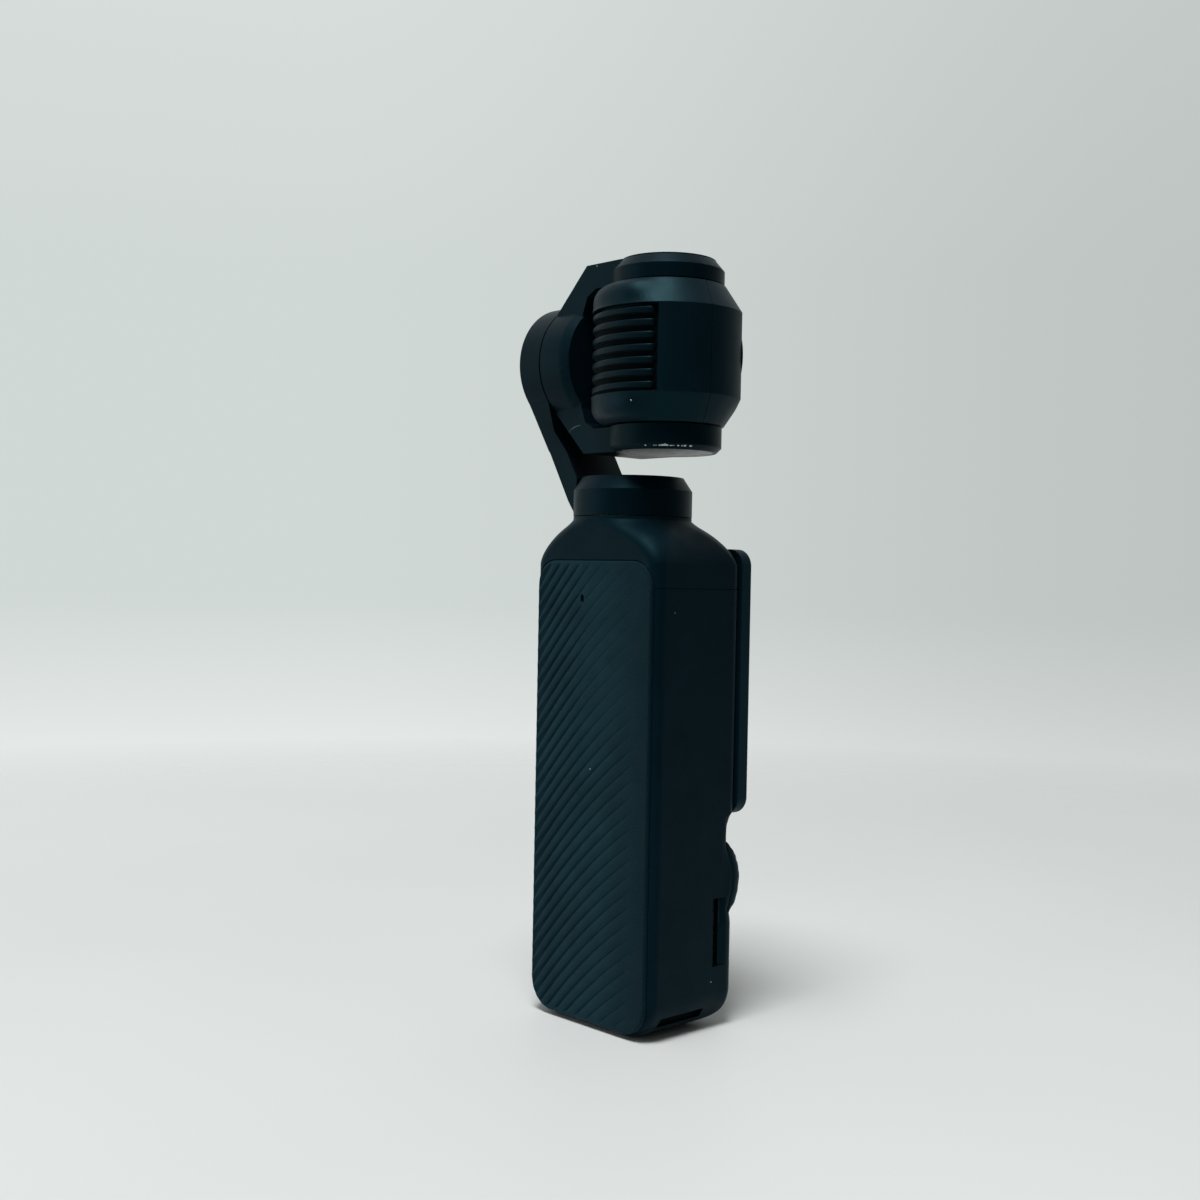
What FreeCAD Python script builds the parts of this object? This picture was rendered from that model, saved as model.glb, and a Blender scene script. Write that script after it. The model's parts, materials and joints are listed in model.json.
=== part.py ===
import FreeCAD, Part
import math
import os
import re
import Sketcher
from FreeCAD import Placement, Rotation, Vector

# A pocket gimbal camera. The origin is on the base plane, under the pan axis. +Z is up,
# the turning screen faces -Y, the ribbed grip panel faces +Y and the card slot is on the -X side.

# Driving sizes in millimetres and degrees: name, value, what it is
SIZES = (
    ("handle_width", 32.4, "handle, side to side"),
    ("handle_back", 9.9, "pan axis to the face of the grip panel"),
    ("handle_depth", 22.5, "grip panel face to the front face"),
    ("seam_height", 5.3, "seam under the shoulder cover, above the main board"),
    ("seam_gap", 0.1, "open joint under the shoulder cover"),
    ("back_radius", 2.5, "rounding of the back edges"),
    ("front_radius", 2.2, "rounding of the front edges"),
    ("corner_radius", 7.2, "lower corners seen from the front"),
    ("toe_radius", 7.5, "lower front edge seen from the side"),
    ("wall", 1.4, "casing wall"),
    ("floor_thickness", 5.4, "base of the casing"),
    ("scoop_height", 35.3, "middle of the finger scoop"),
    ("scoop_depth", 1.4, "depth of the finger scoop"),
    ("scoop_radius", 4.1, "radius of the finger scoop"),
    ("ridge_height", 27.3, "middle of the control ridge"),
    ("ridge_proud", 2.1, "ridge crest in front of the front face"),
    ("ridge_radius", 8.0, "radius of the ridge"),
    ("ridge_end_radius", 3.0, "rounding of the ridge at the sides"),
    ("panel_width", 30.2, "grip panel, side to side"),
    ("panel_bottom", 0.9, "lower edge of the grip panel"),
    ("panel_top", 4.9, "upper edge of the grip panel, above the seam"),
    ("panel_thickness", 1.2, "grip panel"),
    ("panel_step", 0.15, "grip panel proud of the casing"),
    ("panel_top_radius", 4.7, "upper corners of the grip panel"),
    ("panel_low_radius", 5.6, "lower corners of the grip panel"),
    ("panel_reveal", 0.15, "gap round the grip panel"),
    ("ledge_width", 1.7, "ledge that carries the grip panel"),
    ("ledge_thickness", 1.2, "thickness of that ledge"),
    ("mic_offset", 2.7, "back microphone hole from the middle"),
    ("mic_height", 2.1, "microphone holes, below the seam"),
    ("mic_width", 0.9, "back microphone hole"),
    ("mic_tall", 1.6, "back microphone hole"),
    ("mic_setback", 18.7, "side microphone hole behind the panel face"),
    ("mic_radius", 0.6, "side microphone hole"),
    ("capsule_radius", 0.9, "microphone capsule"),
    ("capsule_thickness", 0.9, "microphone capsule"),
    ("card_slot_back", 16.5, "card slot, panel face to its near edge"),
    ("card_slot_gap", 1.8, "card slot width"),
    ("card_slot_low", 15.9, "lower end of the card slot, below the middle of the ridge"),
    ("card_slot_tall", 12.5, "card slot length"),
    ("nail_width", 1.7, "finger nail recess in front of the card slot"),
    ("nail_depth", 1.1, "finger nail recess in front of the card slot"),
    ("card_thickness", 1.0, "room for the card"),
    ("card_travel", 13.0, "depth of the card reader"),
    ("clip_low", 2.3, "lower edge of the side clip slots"),
    ("clip_tall", 1.75, "height of the side clip slots"),
    ("clip_front", 15.1, "panel face to the front end of a clip slot"),
    ("clip_length", 11.0, "length of a clip slot"),
    ("clip_depth", 2.5, "depth of a clip slot from the side"),
    ("socket_width", 8.94, "socket shell width"),
    ("socket_tall", 3.26, "socket shell height"),
    ("socket_depth", 7.3, "socket shell length"),
    ("socket_wall", 0.3, "socket shell wall"),
    ("socket_inset", 0.3, "socket face above the base"),
    ("socket_setback", 12.3, "panel face to the socket middle"),
    ("tongue_thickness", 0.7, "contact tongue in the socket"),
    ("track_flat", 0.03, "rounded ends stay this much short of a half circle"),
    ("fit", 0.05, "running clearance of fitted pieces"),
    ("gap", 0.3, "clearance between moving pieces"),
    ("shoulder_height", 4.3, "start of the shoulder slope, above the seam"),
    ("neck_start", 8.1, "end of the shoulder slope, above its start"),
    ("neck_height", 0.54, "upright part of the neck"),
    ("neck_radius", 11.0, "neck"),
    ("deck_thickness", 1.5, "floor of the neck"),
    ("spigot", 1.0, "depth of the lip of the shoulder cover in the casing"),
    ("spigot_wall", 0.8, "thickness of that lip"),
    ("collar_gap", 0.15, "slot between the neck and the pan collar"),
    ("collar_radius", 11.03, "pan collar"),
    ("collar_edge", 4.81, "foot of the collar's chamfer, above its lower edge"),
    ("collar_top", 7.31, "top of the pan collar, above its lower edge"),
    ("collar_top_radius", 9.4, "flat top of the collar"),
    ("collar_wall", 1.43, "pan collar wall"),
    ("collar_roof", 0.9, "plate over the pan motor"),
    ("cap_thickness", 1.1, "motor caps"),
    ("cap_rim", 0.9, "rim round the motor caps"),
    ("post_radius", 3.6, "fixed post of a motor"),
    ("bearing_radius", 2.5, "outer radius of the motor bearings"),
    ("shaft_radius", 1.0, "motor shafts"),
    ("bearing_length", 2.4, "motor bearings"),
    ("coil_gap", 0.45, "air gap of the motors"),
    ("magnet_thickness", 1.2, "magnet rings"),
    ("roll_height", 21.64, "roll axis and middle of the camera head, above the pan collar"),
    ("arm_inner_face", 14.0, "roll motor housing, inner face"),
    ("arm_outer_face", 20.1, "roll motor housing, outer face"),
    ("arm_disc_radius", 11.7, "roll motor housing"),
    ("arm_disc_chamfer", 0.6, "outer edge of the roll motor housing"),
    ("arm_half_width", 6.3, "half width of the leaning arm"),
    ("arm_top_half_width", 9.6, "half width of the arm at the housing"),
    ("arm_foot", 9.0, "lower end of the arm from the pan axis"),
    ("arm_heel", 3.0, "where the arm leaves the collar, above its lower edge"),
    ("arm_elbow", 18.1, "outer face of the arm level with the bottom of the housing"),
    ("arm_knee", 16.7, "outer face of the arm at its knee"),
    ("arm_knee_drop", 4.5, "knee of the arm below the housing"),
    ("arm_elbow_rise", 6.5, "height over which the arm turns into the housing"),
    ("arm_inner_drop", 1.0, "inner face of the arm below the housing"),
    ("arm_flare_drop", 5.0, "where the arm starts to widen, below the housing"),
    ("roll_gap", 0.35, "slot between housing and yoke"),
    ("yoke_inner_face", 6.4, "inner face of the yoke's web"),
    ("yoke_disc_taper", 2.3, "length of the cone on the inner side of the yoke's disc"),
    ("yoke_disc_step", 0.7, "how much smaller the disc is at its inner face"),
    ("yoke_half_height", 17.36, "roll axis to the outer faces of the yoke"),
    ("yoke_half_width", 7.6, "half width of the yoke's web"),
    ("yoke_facet_inset", 5.6, "where the yoke's facets start, from the pan axis"),
    ("yoke_facet_height", 9.16, "where the facets meet the roll disc"),
    ("web_thickness", 1.05, "wall behind the roll magnets"),
    ("tilt_offset", 8.15, "tilt axis from the pan axis"),
    ("tilt_disc_radius", 10.2, "tilt discs of the yoke"),
    ("tilt_disc_inner", 12.85, "roll axis to the inner faces of the tilt discs"),
    ("top_chamfer_tall", 2.0, "upper edge of the upper tilt disc"),
    ("top_chamfer_wide", 1.7, "upper edge of the upper tilt disc"),
    ("low_chamfer", 0.9, "lower edge of the lower tilt disc"),
    ("disc_wall", 1.5, "walls of the tilt discs"),
    ("lens_heading", 26.5, "lens direction at rest, from -Y towards -X"),
    ("drum_radius", 13.7, "camera head"),
    ("drum_half_wall", 7.75, "half height of the straight wall of the head"),
    ("drum_end_radius", 10.55, "flat ends of the camera head"),
    ("drum_wall", 2.5, "wall of the camera head"),
    ("drum_wall_share", 0.4, "hollow's straight wall is shorter by this share of the wall"),
    ("drum_end_share", 0.6, "hollow's flat ends are narrower by this share of the wall"),
    ("shell_seam", 3.5, "seam of the head ahead of the tilt axis"),
    ("lens_flat", 11.65, "flat front of the head from the tilt axis"),
    ("lens_reach", 11.8, "front of the lens ring from the tilt axis"),
    ("lens_ring_radius", 7.6, "lens ring"),
    ("lens_ring_wall", 1.1, "lens ring"),
    ("lens_ring_depth", 2.4, "lens ring"),
    ("glass_thickness", 1.0, "front lens"),
    ("barrel_radius", 6.3, "lens barrel"),
    ("barrel_bore", 4.8, "lens barrel"),
    ("barrel_length", 8.7, "lens barrel"),
    ("sensor_size", 14.0, "image sensor board"),
    ("board_thickness", 1.0, "circuit boards"),
    ("fin_count", 7, "cooling fins"),
    ("fin_pitch", 2.17, "cooling fins"),
    ("fin_thickness", 1.15, "cooling fins"),
    ("fin_half_angle", 61, "fins, each side of the back"),
    ("fin_recess_angle", 64, "recess, each side of the back"),
    ("fin_recess_depth", 1.3, "recess for the fins"),
    ("fin_recess_half", 7.65, "half height of the recess"),
    ("fin_base", 0.3, "plate that carries the fins"),
    ("fin_inset", 0.12, "fins behind the wall"),
    ("screen_low", 38.6, "lower edge of the screen"),
    ("screen_tall", 49.2, "screen, end to end"),
    ("screen_reach", 25.7, "grip panel face to the screen glass"),
    ("screen_gap", 0.15, "slot behind the screen"),
    ("screen_corner", 3.2, "corners of the screen"),
    ("screen_rim", 0.8, "frame round the glass"),
    ("screen_edge", 0.6, "chamfer of the screen frame"),
    ("glass_cover", 0.7, "screen glass"),
    ("display_width", 24.9, "picture area"),
    ("display_tall", 44.25, "picture area"),
    ("display_thickness", 0.9, "display panel"),
    ("hub_radius", 4.0, "screen hub"),
    ("hub_ring_radius", 6.0, "ring that carries the screen hub"),
    ("hub_flange", 5.2, "flange that keeps the hub in"),
    ("hub_flange_thickness", 0.7, "that flange"),
    ("control_spacing", 6.8, "joystick and button from the middle"),
    ("button_radius", 4.2, "record button"),
    ("button_proud", 0.35, "record button in front of the ridge"),
    ("button_travel", 0.4, "record button"),
    ("button_skirt", 3.6, "depth of the button's head"),
    ("stem_radius", 1.2, "stem of the record button"),
    ("mark_radius", 1.7, "coloured mark on the record button"),
    ("mark_depth", 0.4, "coloured mark on the record button"),
    ("stick_radius", 3.8, "joystick cap"),
    ("stick_cap_thickness", 1.4, "joystick cap"),
    ("stick_proud", 0.7, "joystick cap in front of the ridge"),
    ("stick_dish", 0.35, "dish in the joystick cap"),
    ("stick_dish_radius", 3.0, "rim of the dish"),
    ("stick_stem", 1.1, "joystick stem"),
    ("stick_pivot", 4.5, "joystick pivot behind the ridge crest"),
    ("stick_well_radius", 4.9, "well round the joystick"),
    ("stick_well_depth", 1.9, "well round the joystick"),
    ("stick_throat", 2.1, "hole for the joystick stem"),
    ("stick_press", 0.3, "joystick press travel"),
    ("battery_width", 26.0, "battery"),
    ("battery_thickness", 11.0, "battery"),
    ("battery_low", 16.0, "lower end of the battery"),
    ("battery_tall", 58.0, "battery"),
    ("board_width", 26.6, "main board"),
    ("board_low", 7.0, "lower end of the main board"),
    ("board_tall", 68.0, "main board"),
    ("board_standoff", 3.2, "main board behind the front wall"),
    ("heat_plate_thickness", 0.7, "heat spreader"),
    ("screw_radius", 0.55, "board screws"),
    ("screw_head", 1.1, "board screw heads"),
    ("screw_head_tall", 0.5, "board screw heads"),
    ("boss_radius", 1.5, "standoffs of the main board"),
    ("boss_inset", 1.9, "standoffs from the edges of the board"),
    ("speaker_tall", 6.0, "speaker"),
    ("speaker_width", 11.0, "speaker"),
    ("speaker_depth", 8.0, "speaker"),
    ("light_radius", 0.6, "status light"),
    ("light_height", 17.0, "status light"),
)
ALIASES = [name for name, _, _ in SIZES]

doc = FreeCAD.newDocument("gimbal_camera")
sheet = doc.addObject("Spreadsheet::Sheet", "Sizes")
for row, (name, size, note) in enumerate(SIZES, start=1):
    sheet.set(f"A{row}", name)
    sheet.set(f"B{row}", str(size))
    sheet.set(f"C{row}", note)
    sheet.setAlias(f"B{row}", name)
doc.recompute()

NODES = []
AXIS_TURN = {
    "x": Rotation(Vector(0, 1, 0), 90),
    "y": Rotation(Vector(1, 0, 0), -90),
    "z": Rotation(),
}
TINY = 0.001


def linked(text):
    """An expression with every size name pointing at its cell."""
    return re.sub(r"[a-z_]+", lambda word: "Sizes." + word[0] if word[0] in ALIASES else word[0], text)


def value(text):
    return float(sheet.evalExpression(linked(text)))


def bind(item, path, text):
    item.setExpression(path, linked(text))


def node(item, label):
    """Marks a finished piece and gives it the name of its file."""
    item.Label = label
    NODES.append(item)
    return item


# Primitives


def box(name, low, high):
    item = doc.addObject("Part::Box", name)
    for side, axis, start, end in zip(("Length", "Width", "Height"), "xyz", low, high):
        bind(item, side, f"({end}) - ({start})")
        bind(item, "Placement.Base." + axis, start)
    return item


def cylinder(name, radius, start, end, centre=("0", "0"), axis="z"):
    """A round bar along an axis; centre gives the other two coordinates in order."""
    item = doc.addObject("Part::Cylinder", name)
    item.Placement = Placement(Vector(), AXIS_TURN[axis])
    bind(item, "Radius", radius)
    bind(item, "Height", f"({end}) - ({start})")
    others = [other for other in "xyz" if other != axis]
    bind(item, "Placement.Base." + axis, start)
    for other, place in zip(others, centre):
        bind(item, "Placement.Base." + other, place)
    return item


def cut(name, base, *tools):
    item = doc.addObject("Part::Cut", name)
    item.Base = base
    item.Tool = tools[0] if len(tools) == 1 else fuse(name + "_tools", *tools)
    return item


def fuse(name, *items):
    item = doc.addObject("Part::MultiFuse", name)
    item.Shapes = list(items)
    return item


def common(name, *items):
    item = doc.addObject("Part::MultiCommon", name)
    item.Shapes = list(items)
    return item


def ring(name, outer, inner, start, end, centre=("0", "0"), axis="z"):
    bar = cylinder(name + "_outer", outer, start, end, centre, axis)
    bore = cylinder(name + "_bore", inner, start, end, centre, axis)
    return cut(name, bar, bore)


def sector(name, outer, inner, start, end, half_angle):
    """Part of a ring, centred on +Y, for the fins of the camera head."""
    pieces = []
    for part, radius in (("outer", outer), ("inner", inner)):
        item = doc.addObject("Part::Cylinder", f"{name}_{part}")
        bind(item, "Radius", radius)
        bind(item, "Height", f"({end}) - ({start})")
        bind(item, "Angle", f"2 * ({half_angle})")
        item.Placement = Placement(Vector(), Rotation(Vector(0, 0, 1), 1))
        bind(item, "Placement.Rotation.Angle", f"90 - ({half_angle})")
        bind(item, "Placement.Base.z", start)
        pieces.append(item)
    return cut(name, *pieces)


# Bodies with sketches


def body_with_sketch(name, role, offset="0"):
    body = doc.addObject("PartDesign::Body", name)
    sketch = body.newObject("Sketcher::SketchObject", name + "_sketch")
    planes = {feature.Role: feature for feature in body.Origin.OriginFeatures}
    sketch.AttachmentSupport = [(planes[role], "")]
    sketch.MapMode = "FlatFace"
    bind(sketch, "AttachmentOffset.Base.z", offset)
    return body, sketch


def fix_point(sketch, edge, end, across, up):
    """Holds one end of an edge at a place given by two expressions."""
    for kind, text, axis in (("DistanceX", across, -2), ("DistanceY", up, -1)):
        if text == "0":
            sketch.addConstraint(Sketcher.Constraint("PointOnObject", edge, end, axis))
            continue
        index = sketch.addConstraint(Sketcher.Constraint(kind, -1, 1, edge, end, value(text)))
        bind(sketch, f"Constraints[{index}]", text)


def arc_between(first, last, radius, bulge):
    """An arc of a given radius from one point to another, to the left (1) or right (-1)."""
    half = (last - first) * 0.5
    reach = math.sqrt(max(radius ** 2 - half.Length ** 2, 0))
    side = Vector(-half.y, half.x, 0).normalize()
    centre = first + half - side * reach * bulge
    start, end = (first, last) if bulge < 0 else (last, first)
    angles = [math.atan2(point.y - centre.y, point.x - centre.x) for point in (start, end)]
    return Part.ArcOfCircle(Part.Circle(centre, Vector(0, 0, 1), radius), *angles)


def outline(sketch, corners):
    """A closed outline. A corner is (across, up), or (across, up, radius, bulge) where an arc
    leads from it to the next corner: bulge is 1 to the left of the way there and -1 to the right."""
    points = [Vector(value(corner[0]), value(corner[1]), 0) for corner in corners]
    ends = []
    for index, corner in enumerate(corners):
        first, last = points[index], points[(index + 1) % len(points)]
        if len(corner) == 2:
            edge = sketch.addGeometry(Part.LineSegment(first, last))
            ends.append((edge, 1, 2))
            continue
        radius, bulge = corner[2:]
        edge = sketch.addGeometry(arc_between(first, last, value(radius), bulge))
        ends.append((edge, 1, 2) if bulge < 0 else (edge, 2, 1))
        held = sketch.addConstraint(Sketcher.Constraint("Radius", edge, value(radius)))
        bind(sketch, f"Constraints[{held}]", radius)
    for index, (edge, start, end) in enumerate(ends):
        following, its_start, _ = ends[(index + 1) % len(ends)]
        sketch.addConstraint(Sketcher.Constraint("Coincident", edge, end, following, its_start))
        fix_point(sketch, edge, start, corners[index][0], corners[index][1])


def rounded_corners(left, right, low, high, low_radius, high_radius):
    """The corners of an upright rectangle whose four corners are rounded, anticlockwise."""
    return (
        (f"{left} + {low_radius}", low),
        (f"{right} - {low_radius}", low, low_radius, -1),
        (right, f"{low} + {low_radius}"),
        (right, f"{high} - {high_radius}", high_radius, -1),
        (f"{right} - {high_radius}", high),
        (f"{left} + {high_radius}", high, high_radius, -1),
        (left, f"{high} - {high_radius}"),
        (left, f"{low} + {low_radius}", low_radius, -1),
    )


def extruded(name, role, corners, start, length, midplane=False):
    """A body with one padded outline. On the XZ plane it runs from start towards -Y."""
    offset = f"-({start})" if role == "XZ_Plane" else start
    body, sketch = body_with_sketch(name, role, offset)
    outline(sketch, corners)
    pad = body.newObject("PartDesign::Pad", name + "_pad")
    pad.Profile = sketch
    pad.Midplane = midplane
    bind(pad, "Length", length)
    return body


def turned(name, corners):
    """A body turned about the Z axis from an outline of (radius, height) corners."""
    body, sketch = body_with_sketch(name, "XZ_Plane")
    outline(sketch, corners)
    turn = body.newObject("PartDesign::Revolution", name + "_turn")
    turn.Profile = sketch
    turn.ReferenceAxis = (sketch, ["V_Axis"])
    turn.Angle = 360
    return body


def soften(body, kind, size, wanted):
    """Rounds or chamfers the edges of a body that the test wanted(edge) picks."""
    doc.recompute()
    base = body.Tip
    names = [f"Edge{i}" for i, edge in enumerate(base.Shape.Edges, start=1) if wanted(edge)]
    feature = body.newObject("PartDesign::" + kind, f"{body.Name}_{kind.lower()}")
    feature.Base = (base, names)
    bind(feature, "Radius" if kind == "Fillet" else "Size", size)
    return body


def runs_along(edge, axis, low, high):
    """True where every end of the edge lies between two values of one coordinate."""
    places = [getattr(point.Point, axis) for point in edge.Vertexes]
    return all(low - TINY <= place <= high + TINY for place in places)


# Places that several pieces share
HALF = "handle_width / 2"
FRONT = "(handle_back - handle_depth)"
SHELL_BACK = "(handle_back - panel_step)"
PANEL_IN = "(handle_back - panel_thickness)"
CAVITY_FRONT = f"({FRONT} + scoop_depth + wall)"
CAVITY_BACK = f"({PANEL_IN} - ledge_thickness)"
CREST = f"({FRONT} - ridge_proud)"
CARD_LOW = "(ridge_height - card_slot_low)"
BOARD_TOP = "(board_low + board_tall)"
SEAM = f"({BOARD_TOP} + seam_height)"
MIC = f"({SEAM} - mic_height)"
PANEL_TOP = f"({SEAM} + panel_top)"
SHOULDER_BASE = f"({SEAM} + seam_gap)"
SLOPE_LOW = f"({SEAM} + shoulder_height)"
SLOPE_HIGH = f"({SLOPE_LOW} + neck_start)"
NECK_TOP = f"({SLOPE_HIGH} + neck_height)"
DECK = f"({NECK_TOP} - deck_thickness)"
COLLAR_BASE = f"({NECK_TOP} + collar_gap)"
COLLAR_EDGE = f"({COLLAR_BASE} + collar_edge)"
COLLAR_TOP = f"({COLLAR_BASE} + collar_top)"
COLLAR_ROOF = f"({COLLAR_TOP} - cap_thickness - collar_roof)"
ROLL = f"({COLLAR_TOP} + roll_height)"
BOARD_FRONT = f"({CAVITY_FRONT} + board_standoff)"
BOARD_BACK = f"({BOARD_FRONT} + board_thickness)"
SCREEN_BACK = f"({FRONT} - screen_gap)"
SCREEN_FRONT = "(handle_back - screen_reach)"
SCREEN_MIDDLE = "(screen_low + screen_tall / 2)"


def handle_block():
    """The casing's outer form: a front outline with rounded lower corners, hollowed in front."""
    half_scoop = "sqrt(2 * scoop_radius * scoop_depth - scoop_depth ^ 2)"
    face = (
        (f"-{HALF} + corner_radius", "0"),
        (f"{HALF} - corner_radius", "0", "corner_radius", -1),
        (HALF, "corner_radius"),
        (HALF, SEAM),
        (f"-{HALF}", SEAM),
        (f"-{HALF}", "corner_radius", "corner_radius", -1),
    )
    block = extruded("handle_block", "XZ_Plane", face, SHELL_BACK, f"{SHELL_BACK} - {FRONT}")
    back = value(SHELL_BACK)
    front = value(FRONT)
    seam = value(SEAM)

    def below_seam(edge):
        return not runs_along(edge, "z", seam, seam)

    soften(block, "Fillet", "back_radius", lambda e: runs_along(e, "y", back, back) and below_seam(e))
    soften(block, "Fillet", "front_radius", lambda e: runs_along(e, "y", front, front) and below_seam(e))
    side = (
        ("handle_back", "0"),
        ("handle_back", SEAM),
        (FRONT, SEAM),
        (FRONT, f"scoop_height + {half_scoop}", "scoop_radius", 1),
        (FRONT, f"scoop_height - {half_scoop}"),
        (FRONT, "toe_radius", "toe_radius", -1),
        (f"{FRONT} + toe_radius", "0"),
    )
    profile = extruded("handle_side_view", "YZ_Plane", side, "0", "handle_width", midplane=True)
    return common("handle_outer", block, profile)


def control_ridge():
    """The rounded ridge across the front that holds the joystick and the record button."""
    bar = cylinder("ridge_bar", "ridge_radius", f"-{HALF}", HALF,
                   (f"{CREST} + ridge_radius", "ridge_height"), "x")
    root = f"{FRONT} + wall"
    plan = rounded_corners(f"-{HALF}", HALF, CREST, root, "ridge_end_radius", "gap")
    ends = extruded("ridge_plan", "XY_Plane", plan, "ridge_height - ridge_radius", "2 * ridge_radius")
    return common("ridge", bar, ends)


def panel_outline(grow):
    side = f"(panel_width / 2 + {grow})"
    return rounded_corners(f"-{side}", side, f"(panel_bottom - {grow})", f"({PANEL_TOP} + {grow})",
                           f"(panel_low_radius + {grow})", f"(panel_top_radius + {grow})")


def panel_recess(name):
    return extruded(name, "XZ_Plane", panel_outline("panel_reveal"), "handle_back + wall",
                    "wall + panel_thickness")


def rear_opening(name, low, high):
    side = "(panel_width / 2 - ledge_width)"
    return box(name, (f"-{side}", f"{CAVITY_BACK} - wall", low), (side, "handle_back", high))


def clip_slots():
    tools = []
    for name, start, end in (("clip_slot_left", f"-{HALF}", f"-{HALF} + clip_depth"),
                             ("clip_slot_right", f"{HALF} - clip_depth", HALF)):
        tools.append(box(name, (start, "handle_back - clip_front", "clip_low"),
                         (end, "handle_back - clip_front + clip_length", "clip_low + clip_tall")))
    return tools


ROUND_END = "(neck_radius - track_flat)"


def rounded_bar(name, width, tall, grow, low, high):
    """An upright bar with a race-track section, as the socket has."""
    half_width = f"({width} / 2 + {grow})"
    half_tall = f"({tall} / 2 + {grow})"
    end_radius = f"({half_tall} - track_flat)"
    middle = "handle_back - socket_setback"
    plan = rounded_corners(f"-{half_width}", half_width, f"({middle} - {half_tall})",
                           f"({middle} + {half_tall})", end_radius, end_radius)
    return extruded(name, "XY_Plane", plan, low, f"({high}) - ({low})")


def nail_recess():
    """A sloping recess that leads a finger nail to the edge of the card."""
    slot_front = "(handle_back - card_slot_back - card_slot_gap)"
    slope = (
        (f"-{HALF}", f"{slot_front} - nail_width"),
        (f"-{HALF} + nail_depth", slot_front),
        (f"-{HALF}", slot_front),
    )
    return extruded("nail_recess", "XY_Plane", slope, CARD_LOW, "card_slot_tall")


CABLE_WAY = "(shaft_radius + 2 * gap)"
BUTTON_FLOOR = f"({CREST} - button_proud + button_skirt + button_travel + fit)"
STICK_WELL = f"({CREST} + stick_well_depth)"


def handle_shell():
    outer = fuse("handle_form", handle_block(), control_ridge())
    cavity = box("handle_cavity", (f"-{HALF} + wall", CAVITY_FRONT, "floor_thickness"),
                 (f"{HALF} - wall", CAVITY_BACK, SEAM))
    slot_front = "handle_back - card_slot_back - card_slot_gap"
    tools = [
        cavity,
        panel_recess("handle_panel_recess"),
        rear_opening("handle_rear_opening", "panel_bottom + ledge_width + floor_thickness",
                     SEAM),
        box("card_slot", (f"-{HALF}", slot_front, CARD_LOW),
            (f"-{HALF} + wall", f"{slot_front} + card_slot_gap", f"{CARD_LOW} + card_slot_tall")),
        nail_recess(),
        rounded_bar("socket_hole", "socket_width", "socket_tall", "fit", "0", "floor_thickness"),
        cylinder("hub_hole", "hub_ring_radius", FRONT, CAVITY_FRONT, ("0", SCREEN_MIDDLE), "y"),
        cylinder("button_well", "button_radius + 3 * fit", CREST, BUTTON_FLOOR,
                 ("control_spacing", "ridge_height"), "y"),
        cylinder("button_stem_hole", "stem_radius + 3 * fit", CREST, CAVITY_FRONT,
                 ("control_spacing", "ridge_height"), "y"),
        cylinder("stick_well", "stick_well_radius", CREST, STICK_WELL,
                 ("-control_spacing", "ridge_height"), "y"),
        cylinder("stick_throat", "stick_throat", CREST, CAVITY_FRONT,
                 ("-control_spacing", "ridge_height"), "y"),
        cylinder("light_hole", "light_radius + fit", FRONT, CAVITY_FRONT, ("0", "light_height"), "y"),
    ]
    shell = cut("handle_hollow", outer, *tools, *clip_slots())
    bosses = [standoff(index, x, z) for index, (x, z) in enumerate(standoff_places())]
    return node(fuse("handle_with_standoffs", shell, *bosses), "handle_shell")


def standoff_places():
    side = "(board_width / 2 - boss_inset)"
    return [(x, z) for z in ("board_low + boss_inset", f"{BOARD_TOP} - boss_inset")
            for x in (f"-{side}", side)]


def standoff(index, x, z):
    return ring(f"standoff_{index}", "boss_radius", "screw_radius + fit / 2",
                f"{CAVITY_FRONT} - fit", BOARD_FRONT, (x, z), "y")


# Share of the way from the handle's section to the neck, at shares of the slope's height
SHOULDER_SHARES = ((0, 0), (0.2, 0.08), (0.4, 0.23), (0.6, 0.44), (0.78, 0.69), (0.9, 0.88), (1, 1))


def shoulder_section(body, index, height, share):
    """One level outline of the shoulder: between the handle's section and the neck's circle."""
    sketch = body.newObject("Sketcher::SketchObject", f"shoulder_section_{index}")
    planes = {feature.Role: feature for feature in body.Origin.OriginFeatures}
    sketch.AttachmentSupport = [(planes["XY_Plane"], "")]
    sketch.MapMode = "FlatFace"
    level = f"{SLOPE_LOW} + neck_start * {height}"
    bind(sketch, "AttachmentOffset.Base.z", level)
    side = f"({HALF} + (neck_radius - {HALF}) * {share})"
    front = f"({FRONT} + (-neck_radius - {FRONT}) * {share})"
    back = f"({SHELL_BACK} + (neck_radius - {SHELL_BACK}) * {share})"
    low_radius = f"(front_radius + ({ROUND_END} - front_radius) * {share})"
    high_radius = f"(back_radius + ({ROUND_END} - back_radius) * {share})"
    outline(sketch, rounded_corners(f"-{side}", side, front, back, low_radius, high_radius))
    return sketch


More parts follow.
